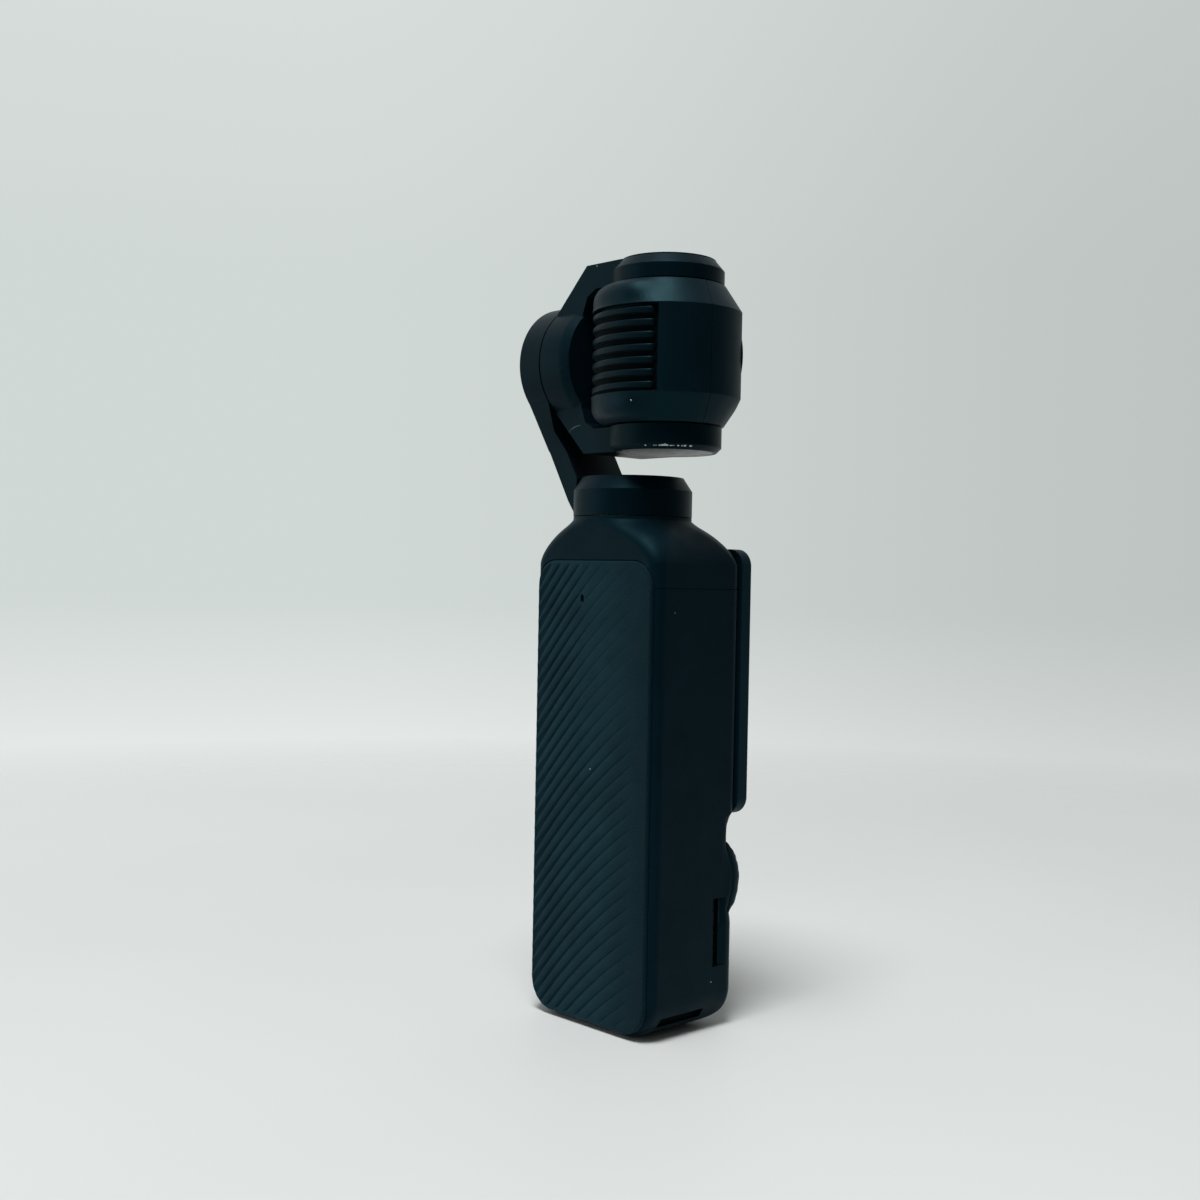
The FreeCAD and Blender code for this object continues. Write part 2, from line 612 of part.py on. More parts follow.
def shoulder_cover():
    plan = rounded_corners(f"-{HALF}", HALF, FRONT, SHELL_BACK, "front_radius", "back_radius")
    block = extruded("shoulder_block", "XY_Plane", plan, SHOULDER_BASE,
                     f"{SLOPE_LOW} - {SHOULDER_BASE}")
    slope_body = doc.addObject("PartDesign::Body", "shoulder_slope")
    sections = [shoulder_section(slope_body, index, height, share)
                for index, (height, share) in enumerate(SHOULDER_SHARES)]
    loft = slope_body.newObject("PartDesign::AdditiveLoft", "shoulder_loft")
    loft.Profile = sections[0]
    loft.Sections = sections[1:]
    neck = cylinder("neck", "neck_radius", SLOPE_HIGH, NECK_TOP)
    outer = fuse("shoulder_form", block, slope_body, neck)
    lip_side = f"{HALF} - wall - fit"
    inner_side = f"{HALF} - wall - spigot_wall"
    motor_room = "neck_radius - 2 * wall"
    tools = [
        box("shoulder_cavity", (f"-({inner_side})", f"{CAVITY_FRONT} + spigot_wall", SHOULDER_BASE),
            (inner_side, CAVITY_BACK, SLOPE_LOW)),
        cylinder("neck_cavity", motor_room, SHOULDER_BASE, DECK),
        panel_recess("shoulder_panel_recess"),
        rear_opening("shoulder_rear_opening", SHOULDER_BASE, f"{PANEL_TOP} - ledge_width"),
    ]
    hollow = cut("shoulder_hollow", outer, *tools)
    post = cylinder("pan_post", "post_radius", DECK, f"{COLLAR_ROOF} - gap")
    lip_low = f"{SEAM} - spigot"
    lip_high = f"{SHOULDER_BASE} + spigot_wall"
    lip_outer = box("lip_outer", (f"-({lip_side})", f"{CAVITY_FRONT} + fit", lip_low),
                    (lip_side, f"{CAVITY_BACK} - fit", lip_high))
    lip_inner = box("lip_inner", (f"-({inner_side})", f"{CAVITY_FRONT} + spigot_wall", lip_low),
                    (inner_side, "handle_back", lip_high))
    lip = cut("lip", lip_outer, lip_inner)
    solid = fuse("shoulder_with_post", hollow, post, lip)
    bores = [
        cylinder("pan_bearing_seat", "bearing_radius + fit / 2",
                 f"{COLLAR_ROOF} - gap - bearing_length", f"{COLLAR_ROOF} - gap"),
        cylinder("pan_cable_way", CABLE_WAY, DECK, COLLAR_ROOF),
        side_mic_hole(),
    ]
    return node(cut("shoulder_bored", solid, *bores), "shoulder_cover")


def side_mic_hole():
    return cylinder("side_mic_hole", "mic_radius", f"-{HALF}", f"-{HALF} + 3 * wall",
                    ("handle_back - mic_setback", MIC), "x")


def grip_panel():
    plate = extruded("grip_plate", "XZ_Plane", panel_outline("0"), "handle_back", "panel_thickness")
    hole = box("back_mic_hole", ("mic_offset - mic_width / 2", PANEL_IN, f"{MIC} - mic_tall / 2"),
               ("mic_offset + mic_width / 2", "handle_back", f"{MIC} + mic_tall / 2"))
    return node(cut("grip_plate_bored", plate, hole), "grip_panel")


# Inside the handle


def electronics():
    board_side = "board_width / 2"
    board = box("board_plate", (f"-{board_side}", BOARD_FRONT, "board_low"),
                (board_side, BOARD_BACK, BOARD_TOP))
    holes = [cylinder(f"board_hole_{i}", "screw_radius + fit / 2", BOARD_FRONT, BOARD_BACK, place, "y")
             for i, place in enumerate(standoff_places())]
    node(cut("board_drilled", board, *holes), "main_board")
    screws = []
    for i, place in enumerate(standoff_places()):
        shank = cylinder(f"screw_shank_{i}", "screw_radius", f"{CAVITY_FRONT} + gap", BOARD_BACK,
                         place, "y")
        head = cylinder(f"screw_head_{i}", "screw_head", BOARD_BACK,
                        f"{BOARD_BACK} + screw_head_tall", place, "y")
        screws.append(fuse(f"screw_{i}", shank, head))
    node(fuse("screws", *screws), "board_screws")
    plate_side = "(board_width / 2 - 2 * boss_inset)"
    node(box("heat_plate", (f"-{plate_side}", BOARD_BACK, "battery_low"),
             (plate_side, f"{BOARD_BACK} + heat_plate_thickness",
              f"{BOARD_TOP} - 2 * boss_inset")), "heat_spreader")
    battery_front = f"({BOARD_BACK} + heat_plate_thickness + fit)"
    node(battery(battery_front), "battery")


def battery(front):
    side = "battery_width / 2"
    edge = "battery_thickness / 4"
    plan = rounded_corners(f"-{side}", side, front, f"({front} + battery_thickness)", edge, edge)
    return extruded("battery_pack", "XY_Plane", plan, "battery_low", "battery_tall")


USB_BOARD_LOW = "(socket_inset + socket_depth + fit)"


def base_parts():
    top = "socket_inset + socket_depth"
    shell = rounded_bar("socket_shell", "socket_width", "socket_tall", "0", "socket_inset", top)
    mouth = rounded_bar("socket_mouth", "socket_width", "socket_tall", "(-socket_wall)",
                        "socket_inset", f"{top} - socket_wall")
    middle = "handle_back - socket_setback"
    tongue_side = "(socket_width / 2 - 4 * socket_wall)"
    tongue = box("socket_tongue",
                 (f"-{tongue_side}", f"{middle} - tongue_thickness / 2", "2 * socket_inset"),
                 (tongue_side, f"{middle} + tongue_thickness / 2", top))
    node(fuse("socket", cut("socket_hollow", shell, mouth), tongue), "usb_c_socket")
    board_side = "(socket_width + gap)"
    node(box("usb_plate", (f"-{board_side}", f"{BOARD_BACK} + gap", USB_BOARD_LOW),
             (board_side, f"{middle} + socket_tall * 1.5", f"{USB_BOARD_LOW} + board_thickness")),
         "usb_board")
    speaker_low = f"({USB_BOARD_LOW} + board_thickness + fit)"
    node(box("speaker_box", ("-speaker_width / 2", f"{BOARD_BACK} + 2 * gap", speaker_low),
             ("speaker_width / 2", f"{BOARD_BACK} + 2 * gap + speaker_depth",
              f"{speaker_low} + speaker_tall")), "speaker")


def front_parts():
    slot_front = "(handle_back - card_slot_back - card_slot_gap)"
    card_middle = f"({slot_front} + card_slot_gap / 2)"
    outside = f"(-{HALF} + wall + fit)"
    reader = box("reader_box", (outside, f"{slot_front} - fit", f"{CARD_LOW} - gap"),
                 (f"{outside} + card_travel", f"{BOARD_FRONT} - fit / 2",
                  f"{CARD_LOW} + card_slot_tall + gap"))
    room = box("reader_room", (outside, f"{card_middle} - card_thickness / 2", f"{CARD_LOW} + gap"),
               (f"{outside} + card_travel - gap", f"{card_middle} + card_thickness / 2",
                f"{CARD_LOW} + card_slot_tall - gap"))
    node(cut("reader", reader, room), "card_reader")
    capsules = [
        cylinder("back_capsule", "capsule_radius", f"{PANEL_IN} - capsule_thickness", PANEL_IN,
                 ("mic_offset", MIC), "y"),
        cylinder("side_capsule", "capsule_radius", f"-{HALF} + wall + spigot_wall + 2 * fit",
                 f"-{HALF} + wall + spigot_wall + 2 * fit + capsule_thickness",
                 ("handle_back - mic_setback", MIC), "x"),
    ]
    node(fuse("capsules", *capsules), "microphones")
    light_place = ("0", "light_height")
    bar = cylinder("light_bar", "light_radius", f"{FRONT} + fit", f"{CAVITY_FRONT} + gap",
                   light_place, "y")
    foot = cylinder("light_foot", "light_radius + gap", f"{CAVITY_FRONT} + fit",
                    f"{CAVITY_FRONT} + 2 * gap", light_place, "y")
    node(fuse("light_pipe", bar, foot), "status_light_guide")


# Controls


def controls():
    button_place = ("control_spacing", "ridge_height")
    face = f"({CREST} - button_proud)"
    stem_end = f"({CAVITY_FRONT} + button_travel)"
    head_bar = cylinder("button_bar", "button_radius", f"{face} - gap", f"{face} + button_skirt",
                        button_place, "y")
    crown = cylinder("button_crown", "ridge_radius + button_proud", "control_spacing - 2 * button_radius",
                     "control_spacing + 2 * button_radius",
                     (f"{CREST} + ridge_radius", "ridge_height"), "x")
    stem = cylinder("button_stem", "stem_radius", f"{face} + button_skirt - fit", stem_end,
                    button_place, "y")
    mark_hole = cylinder("mark_hole", "mark_radius", f"{face} - gap", f"{face} + mark_depth",
                         button_place, "y")
    button = cut("button", fuse("button_form", common("button_head", head_bar, crown), stem), mark_hole)
    node(button, "record_button")
    node(common("mark", cylinder("mark_bar", "mark_radius", f"{face} - gap", f"{face} + mark_depth",
                                 button_place, "y"),
                cylinder("mark_crown", "ridge_radius + button_proud", "0", "2 * control_spacing",
                         (f"{CREST} + ridge_radius", "ridge_height"), "x")), "record_button_mark")
    switch_side = "stem_radius * 2"
    switch_front = f"({stem_end} + button_travel + fit)"
    switch = box("switch_box", (f"control_spacing - {switch_side}", switch_front,
                                f"ridge_height - {switch_side}"),
                 (f"control_spacing + {switch_side}", f"{BOARD_FRONT} - fit / 2",
                  f"ridge_height + {switch_side}"))
    node(switch, "record_switch")
    joystick()


STICK_PIVOT = f"({CREST} + stick_pivot)"


def joystick():
    place = ("-control_spacing", "ridge_height")
    cap_front = f"({CREST} - stick_proud)"
    ring_outer = "(stick_throat - 2 * fit)"
    ring_bore = "stick_stem + 3 * fit"
    cap = cylinder("stick_cap_disc", "stick_radius", cap_front, f"{cap_front} + stick_cap_thickness",
                   place, "y")
    stem = cylinder("stick_stem_bar", "stick_stem", f"{cap_front} + stick_cap_thickness / 2",
                    f"{STICK_PIVOT} + fit", place, "y")
    dish_radius = "(stick_dish_radius ^ 2 / (2 * stick_dish) + stick_dish / 2)"
    dish = doc.addObject("Part::Sphere", "stick_dish_ball")
    bind(dish, "Radius", dish_radius)
    bind(dish, "Placement.Base.x", place[0])
    bind(dish, "Placement.Base.y", f"{cap_front} - {dish_radius} + stick_dish")
    bind(dish, "Placement.Base.z", place[1])
    node(cut("stick", fuse("stick_form", cap, stem), dish), "joystick_cap")
    node(ring("stick_ring", ring_outer, ring_bore, f"{STICK_PIVOT} - 2 * gap", f"{STICK_PIVOT} + gap",
              place, "y"), "joystick_ring")
    plunger_front = f"({STICK_PIVOT} + 2 * gap)"
    plunger = cylinder("stick_plunger", "(stick_throat - 2 * fit)", plunger_front,
                       f"{plunger_front} + 2 * gap", place, "y")
    node(plunger, "joystick_plunger")
    base_side = "(stick_throat + 2 * gap)"
    node(box("stick_base", (f"-control_spacing - {base_side}",
                            f"{plunger_front} + 2 * gap + stick_press + fit",
                            f"ridge_height - {base_side}"),
             (f"-control_spacing + {base_side}", f"{BOARD_FRONT} - fit / 2",
              f"ridge_height + {base_side}")), "joystick_base")


# Turning screen


def screen_outline(shrink):
    side = f"({HALF} - {shrink})"
    corner = f"(screen_corner - {shrink})"
    return rounded_corners(f"-{side}", side, f"(screen_low + {shrink})",
                           f"(screen_low + screen_tall - {shrink})", corner, corner)


def screen():
    slab = extruded("screen_slab", "XZ_Plane", screen_outline("0"), SCREEN_BACK,
                    f"{SCREEN_BACK} - {SCREEN_FRONT}")
    front = value(SCREEN_FRONT)
    soften(slab, "Chamfer", "screen_edge", lambda edge: runs_along(edge, "y", front, front))
    glass_back = f"({SCREEN_FRONT} + glass_cover)"
    seat = extruded("glass_seat", "XZ_Plane", screen_outline("screen_rim"), glass_back, "glass_cover")
    display_side = "display_width / 2"
    low = (f"-{display_side}", glass_back, f"{SCREEN_MIDDLE} - display_tall / 2")
    high = (display_side, f"{glass_back} + display_thickness", f"{SCREEN_MIDDLE} + display_tall / 2")
    node(cut("screen_hollow", slab, seat, box("display_seat", low, high)), "screen_frame")
    node(extruded("cover_glass", "XZ_Plane", screen_outline("(screen_rim + fit)"), glass_back,
                  "glass_cover - fit"), "screen_glass")
    node(box("display", (f"{low[0]} + fit", low[1], f"{low[2]} + fit"),
             (f"{high[0]} - fit", f"{high[1]} - fit", f"{high[2]} - fit")), "display_panel")
    centre = ("0", SCREEN_MIDDLE)
    flange_front = f"({CAVITY_FRONT} + fit)"
    flange_back = f"({flange_front} + hub_flange_thickness)"
    hub = fuse("hub", cylinder("hub_bar", "hub_radius", SCREEN_BACK, flange_front, centre, "y"),
               cylinder("hub_plate", "hub_flange", flange_front, flange_back, centre, "y"))
    cable_way = cylinder("hub_bore", "hub_radius / 2", SCREEN_BACK, flange_back, centre, "y")
    node(cut("hub_bored", hub, cable_way), "screen_hub")
    node(ring("hub_ring", "hub_ring_radius - fit / 2", "hub_radius + fit", f"{FRONT} + fit",
              CAVITY_FRONT, centre, "y"), "screen_pivot_ring")


# Pan body


def pan_arm():
    collar = turned("pan_collar_form", (
        ("0", COLLAR_BASE),
        ("collar_radius", COLLAR_BASE),
        ("collar_radius", COLLAR_EDGE),
        ("collar_top_radius", COLLAR_TOP),
        ("0", COLLAR_TOP),
    ))
    elbow_height = f"({ROLL} - arm_disc_radius)"
    side_view = (
        ("arm_foot", f"{COLLAR_BASE} + gap"),
        ("collar_radius", f"{COLLAR_BASE} + arm_heel"),
        ("arm_knee", f"{elbow_height} - arm_knee_drop"),
        ("arm_elbow", elbow_height),
        ("arm_outer_face", f"{elbow_height} + arm_elbow_rise"),
        ("arm_outer_face", ROLL),
        ("arm_inner_face", ROLL),
        ("arm_inner_face", f"{elbow_height} - arm_inner_drop"),
        ("arm_foot - gap", COLLAR_TOP),
    )
    plate = extruded("arm_side_view", "XZ_Plane", side_view, "arm_disc_radius", "2 * arm_disc_radius")
    front_view = (
        ("-arm_half_width", COLLAR_BASE),
        ("arm_half_width", COLLAR_BASE),
        ("arm_half_width", f"{elbow_height} - arm_flare_drop"),
        ("arm_top_half_width", f"{ROLL} - arm_disc_radius / 2"),
        ("arm_top_half_width", ROLL),
        ("-arm_top_half_width", ROLL),
        ("-arm_top_half_width", f"{ROLL} - arm_disc_radius / 2"),
        ("-arm_half_width", f"{elbow_height} - arm_flare_drop"),
    )
    sides = extruded("arm_front_view", "YZ_Plane", front_view, "0", "arm_outer_face + wall")
    leaning = common("leaning_arm", plate, sides)
    roll_centre = ("0", ROLL)
    disc = extruded_disc("arm_disc", "arm_disc_radius", "arm_inner_face", "arm_outer_face",
                         "arm_disc_chamfer")
    post = cylinder("roll_post", "post_radius", f"arm_inner_face - {ROLL_POST}", "arm_inner_face + wall",
                    roll_centre, "x")
    solid = fuse("pan_arm_form", collar, leaning, disc, post)
    tools = [
        cylinder("pan_motor_room", "collar_radius - collar_wall", COLLAR_BASE, COLLAR_ROOF),
        cylinder("pan_cap_seat", "collar_top_radius - cap_rim", f"{COLLAR_TOP} - cap_thickness",
                 COLLAR_TOP),
        cylinder("pan_shaft_seat", "shaft_radius + fit / 2", COLLAR_ROOF, COLLAR_TOP),
        cylinder("roll_room", ROLL_ROOM, "arm_inner_face + wall", BOARD_SEAT, roll_centre, "x"),
        cylinder("roll_board_room", f"{ROLL_ROOM} + fit + gap", BOARD_SEAT, "arm_outer_face",
                 roll_centre, "x"),
        cylinder("roll_cap_seat", f"{ROLL_ROOM} + 2 * gap + fit", "arm_outer_face - cap_thickness",
                 "arm_outer_face", roll_centre, "x"),
        cylinder("roll_bearing_seat", "bearing_radius + fit / 2", f"arm_inner_face - {ROLL_POST}",
                 f"arm_inner_face - {ROLL_POST} + bearing_length", roll_centre, "x"),
        cylinder("roll_shaft_way", CABLE_WAY, f"arm_inner_face - {ROLL_POST}",
                 "arm_inner_face + wall", roll_centre, "x"),
    ]
    node(cut("pan_arm_hollow", solid, *tools), "pan_arm")


ROLL_ROOM = "(arm_disc_radius - 2 * cap_rim)"
BOARD_SEAT = "(arm_outer_face - cap_thickness - 2 * board_thickness)"
CUP_FLOOR = "(yoke_inner_face + web_thickness)"
YOKE_FACE = "(arm_inner_face - roll_gap)"
ROLL_POST = f"(arm_inner_face - {CUP_FLOOR} - gap)"


def cone_along_x(name, first_radius, last_radius, start, length):
    """A cone about the roll axis."""
    item = doc.addObject("Part::Cone", name)
    item.Placement = Placement(Vector(), AXIS_TURN["x"])
    bind(item, "Radius1", first_radius)
    bind(item, "Radius2", last_radius)
    bind(item, "Height", length)
    bind(item, "Placement.Base.x", start)
    bind(item, "Placement.Base.z", ROLL)
    return item


def extruded_disc(name, radius, start, end, chamfer):
    """A round housing along X whose outer edge is chamfered."""
    bar = cylinder(name + "_bar", radius, start, f"{end} - {chamfer}", ("0", ROLL), "x")
    tip = cone_along_x(name + "_tip", radius, f"{radius} - {chamfer}", f"{end} - {chamfer}", chamfer)
    return fuse(name, bar, tip)


def pan_motor():
    node(cylinder("pan_cap_disc", "collar_top_radius - cap_rim - fit", f"{COLLAR_TOP} - cap_thickness",
                  COLLAR_TOP), "pan_cap")
    room = "(collar_radius - collar_wall)"
    magnet_bore = f"({room} - fit / 2 - magnet_thickness)"
    node(ring("pan_magnets", f"{room} - fit / 2", magnet_bore, f"{COLLAR_BASE} + gap", COLLAR_ROOF),
         "pan_magnet_ring")
    node(ring("pan_stator", f"{magnet_bore} - coil_gap", "post_radius + fit", NECK_TOP,
              f"{COLLAR_ROOF} - 2 * gap"), "pan_motor_stator")
    bearing_top = f"({COLLAR_ROOF} - gap)"
    node(ring("pan_bearing_body", "bearing_radius", "shaft_radius + fit",
              f"{bearing_top} - bearing_length", bearing_top), "pan_bearing")
    node(cylinder("pan_shaft_bar", "shaft_radius", f"{bearing_top} - bearing_length - gap",
                  f"{COLLAR_TOP} - cap_thickness"), "pan_shaft")


def roll_motor():
    centre = ("0", ROLL)
    cup = "(arm_disc_radius - disc_wall)"
    magnet_bore = f"({cup} - fit / 2 - magnet_thickness)"
    post_end = f"(arm_inner_face - {ROLL_POST})"
    node(ring("roll_magnets", f"{cup} - fit / 2", magnet_bore, CUP_FLOOR, f"{YOKE_FACE} - fit",
              centre, "x"), "roll_magnet_ring")
    node(ring("roll_stator", f"{magnet_bore} - coil_gap", "post_radius + fit", f"{post_end} + gap",
              "arm_inner_face", centre, "x"), "roll_motor_stator")
    node(ring("roll_bearing_body", "bearing_radius", "shaft_radius + fit", post_end,
              f"{post_end} + bearing_length", centre, "x"), "roll_bearing")
    node(cylinder("roll_shaft_bar", "shaft_radius", CUP_FLOOR, f"{post_end} + bearing_length + gap",
                  centre, "x"), "roll_shaft")
    node(cylinder("roll_board_disc", f"{ROLL_ROOM} + gap", BOARD_SEAT, f"{BOARD_SEAT} + board_thickness",
                  centre, "x"), "roll_encoder_board")
    node(cylinder("roll_cap_disc", f"{ROLL_ROOM} + 2 * gap", "arm_outer_face - cap_thickness",
                  "arm_outer_face", centre, "x"), "roll_motor_cap")


# Roll body

TILT = ("-tilt_offset", "0")
DISC_ROOM = "(tilt_disc_radius - disc_wall)"
UPPER_FLOOR = f"({ROLL} + tilt_disc_inner + disc_wall)"
UPPER_TOP = f"({ROLL} + yoke_half_height)"
LOWER_ROOF = f"({ROLL} - tilt_disc_inner - disc_wall)"
LOWER_BASE = f"({ROLL} - yoke_half_height)"


def at_tilt_axis(body):
    bind(body, "Placement.Base.x", "-tilt_offset")
    return body


def yoke_outline():
    """The web of the yoke seen from the front, a C that opens towards -X."""
    inner_corner = "(drum_end_radius - tilt_offset + 2 * gap)"
    shoulder_clear = "(drum_radius - tilt_offset - gap)"
    drum_clear = "(drum_radius - tilt_offset + 3 * gap)"
    upper = (
        ("-tilt_offset", UPPER_TOP),
        ("-tilt_offset", f"{ROLL} + tilt_disc_inner"),
        (inner_corner, f"{ROLL} + tilt_disc_inner"),
        (shoulder_clear, f"{ROLL} + tilt_disc_inner - 4 * gap"),
        (drum_clear, f"{ROLL} + drum_half_wall + 3 * gap"),
    )
    lower = (
        (drum_clear, f"{ROLL} - drum_half_wall - 3 * gap"),
        (shoulder_clear, f"{ROLL} - tilt_disc_inner + 4 * gap"),
        (inner_corner, f"{ROLL} - tilt_disc_inner"),
        ("-tilt_offset", f"{ROLL} - tilt_disc_inner"),
        ("-tilt_offset", LOWER_BASE),
        ("yoke_facet_inset", LOWER_BASE),
        (YOKE_FACE, f"{ROLL} - yoke_facet_height"),
        (YOKE_FACE, f"{ROLL} + yoke_facet_height"),
        ("yoke_facet_inset", UPPER_TOP),
    )
    return upper + lower


def yoke():
    web = extruded("yoke_web", "XZ_Plane", yoke_outline(), "yoke_half_width", "2 * yoke_half_width")
    upper = at_tilt_axis(turned("upper_tilt_disc", (
        ("0", f"{ROLL} + tilt_disc_inner"),
        ("tilt_disc_radius", f"{ROLL} + tilt_disc_inner"),
        ("tilt_disc_radius", f"{UPPER_TOP} - top_chamfer_tall"),
        ("tilt_disc_radius - top_chamfer_wide", UPPER_TOP),
        ("0", UPPER_TOP),
    )))
    lower = at_tilt_axis(turned("lower_tilt_disc", (
        ("0", LOWER_BASE),
        ("tilt_disc_radius - low_chamfer", LOWER_BASE),
        ("tilt_disc_radius", f"{LOWER_BASE} + low_chamfer"),
        ("tilt_disc_radius", f"{ROLL} - tilt_disc_inner"),
        ("0", f"{ROLL} - tilt_disc_inner"),
    )))
    disc = cylinder("yoke_disc", "arm_disc_radius", "yoke_inner_face + yoke_disc_taper", YOKE_FACE,
                    ("0", ROLL), "x")
    taper = cone_along_x("yoke_disc_cone", "arm_disc_radius - yoke_disc_step", "arm_disc_radius",
                         "yoke_inner_face", "yoke_disc_taper")
    solid = fuse("yoke_form", web, upper, lower, disc, taper)
    tools = [
        cylinder("roll_cup", "arm_disc_radius - disc_wall", CUP_FLOOR, YOKE_FACE,
                 ("0", ROLL), "x"),
        cylinder("upper_room", DISC_ROOM, UPPER_FLOOR, UPPER_TOP, TILT),
        cylinder("lower_room", DISC_ROOM, LOWER_BASE, LOWER_ROOF, TILT),
        cylinder("upper_bearing_seat", "bearing_radius + shaft_radius + fit / 2",
                 f"{ROLL} + tilt_disc_inner", UPPER_FLOOR, TILT),
        cylinder("lower_bearing_seat", "bearing_radius + shaft_radius + fit / 2", LOWER_ROOF,
                 f"{ROLL} - tilt_disc_inner", TILT),
    ]
    node(cut("yoke_hollow", solid, *tools), "yoke")


def tilt_parts():
    tilt_shaft = "(shaft_radius + 2 * gap)"
    bearing = "(bearing_radius + shaft_radius)"
    upper_in = f"{ROLL} + tilt_disc_inner"
    lower_in = f"{ROLL} - tilt_disc_inner"
    cap_low = f"({UPPER_TOP} - cap_thickness)"
    cap_high = f"({LOWER_BASE} + cap_thickness)"
    node(cylinder("upper_cap_disc", f"{DISC_ROOM} - fit", cap_low, UPPER_TOP, TILT), "upper_tilt_cap")
    node(cylinder("lower_cap_disc", f"{DISC_ROOM} - fit", LOWER_BASE, cap_high, TILT), "lower_tilt_cap")
    magnet_radius = f"({DISC_ROOM} - fit - 2 * magnet_thickness - coil_gap)"
    node(ring("tilt_stator", f"{DISC_ROOM} - fit", f"{magnet_radius} + coil_gap", UPPER_FLOOR,
              f"{cap_low} - fit", TILT), "tilt_motor_stator")
    node(ring("tilt_magnets", magnet_radius, f"{tilt_shaft} + fit / 2", f"{UPPER_FLOOR} + gap",
              f"{cap_low} - gap", TILT), "tilt_magnet_ring")
    bearings = [
        ring("upper_bearing", bearing, f"{tilt_shaft} + fit", f"{upper_in} + fit", UPPER_FLOOR, TILT),
        ring("lower_bearing", bearing, f"{tilt_shaft} + fit", LOWER_ROOF, f"{lower_in} - fit", TILT),
    ]
    node(fuse("bearings", *bearings), "tilt_bearings")
    node(ring("tilt_board", f"{DISC_ROOM} - fit", f"{tilt_shaft} + 2 * gap",
              f"{LOWER_ROOF} - board_thickness", LOWER_ROOF, TILT), "tilt_encoder_board")
    drum_top = f"{ROLL} + tilt_disc_inner - gap"
    drum_low = f"{ROLL} - tilt_disc_inner + gap"
    node(cylinder("upper_shaft_bar", tilt_shaft, f"{drum_top} - drum_wall", f"{cap_low} - gap", TILT),
         "upper_tilt_shaft")
    node(cylinder("lower_shaft_bar", tilt_shaft, f"{LOWER_ROOF} - board_thickness",
                  f"{drum_low} + drum_wall", TILT), "lower_tilt_shaft")


# Camera body: built about the tilt axis with the lens towards -Y, then turned to its heading


def headed(piece):
    item = doc.addObject("Part::Refine", piece.Name + "_headed")
    item.Source = piece
    item.Placement = Placement(Vector(), Rotation(Vector(0, 0, 1), -1))
    bind(item, "Placement.Rotation.Angle", "-lens_heading")
    bind(item, "Placement.Base.x", "-tilt_offset")
    return item


def drum(name, shrink):
    """The camera head's form, or its hollow where it is shrunk by the wall."""
    end = f"(tilt_disc_inner - gap - {shrink})"
    wall_end = f"(drum_half_wall - {shrink} * drum_wall_share)"
    return turned(name, (
        ("0", f"{ROLL} - {end}"),
        (f"drum_end_radius - {shrink} * drum_end_share", f"{ROLL} - {end}"),
        (f"drum_radius - {shrink}", f"{ROLL} - {wall_end}"),
        (f"drum_radius - {shrink}", f"{ROLL} + {wall_end}"),
        (f"drum_end_radius - {shrink} * drum_end_share", f"{ROLL} + {end}"),
        ("0", f"{ROLL} + {end}"),
    ))


def head_box(name, front, back):
    return box(name, ("-drum_radius", front, f"{ROLL} - tilt_disc_inner"),
               ("drum_radius", back, f"{ROLL} + tilt_disc_inner"))


def camera_head():
    rear_block = common("rear_block", drum("rear_drum", "0"),
                        head_box("rear_half", "-shell_seam", "drum_radius"))
    recess = sector("fin_recess", "drum_radius + 1", "drum_radius - fin_recess_depth",
                    f"{ROLL} - fin_recess_half", f"{ROLL} + fin_recess_half", "fin_recess_angle")
    shaft_hole = cylinder("tilt_shaft_hole", "shaft_radius + 2 * gap + fit / 2",
                          f"{ROLL} - tilt_disc_inner", f"{ROLL} + tilt_disc_inner")
    node(headed(cut("rear_hollow", rear_block, drum("rear_room", "drum_wall"), recess, shaft_hole)),
         "camera_rear_shell")
    front_block = common("front_block", drum("front_drum", "0"),
                         head_box("front_half", "-lens_flat", "-shell_seam - seam_gap"))
    room = common("front_room", drum("front_drum_room", "drum_wall"),
                  head_box("front_room_half", "-lens_flat + wall", "0"))
    lens_axis = ("0", ROLL)
    hole = cylinder("lens_hole", "lens_ring_radius + fit", "-lens_reach", "0", lens_axis, "y")
    node(headed(cut("front_hollow", front_block, room, hole)), "camera_front_shell")
    lens_parts(lens_axis)
    cooling_fins()


def lens_parts(lens_axis):
    bore = "(lens_ring_radius - lens_ring_wall)"
    ring_back = "(-lens_reach + lens_ring_depth)"
    node(headed(ring("lens_bezel", "lens_ring_radius", bore, "-lens_reach", ring_back, lens_axis, "y")),
         "lens_ring")
    glass_front = "(-lens_reach + 2 * gap)"
    glass = f"({bore} - fit)"
    node(headed(cylinder("front_lens", glass, glass_front, f"{glass_front} + glass_thickness", lens_axis,
                         "y")), "lens_glass")
    barrel_front = f"({glass_front} + glass_thickness + fit)"
    barrel_back = f"({barrel_front} + barrel_length)"
    node(headed(ring("barrel", "barrel_radius", "barrel_bore", barrel_front, barrel_back, lens_axis,
                     "y")), "lens_barrel")
    half = "sensor_size / 2"
    plate_front = f"({barrel_back} + fit)"
    plate = box("sensor_plate", (f"-{half}", plate_front, f"{ROLL} - {half}"),
                (half, f"{plate_front} + board_thickness", f"{ROLL} + {half}"))
    node(headed(plate), "sensor_board")


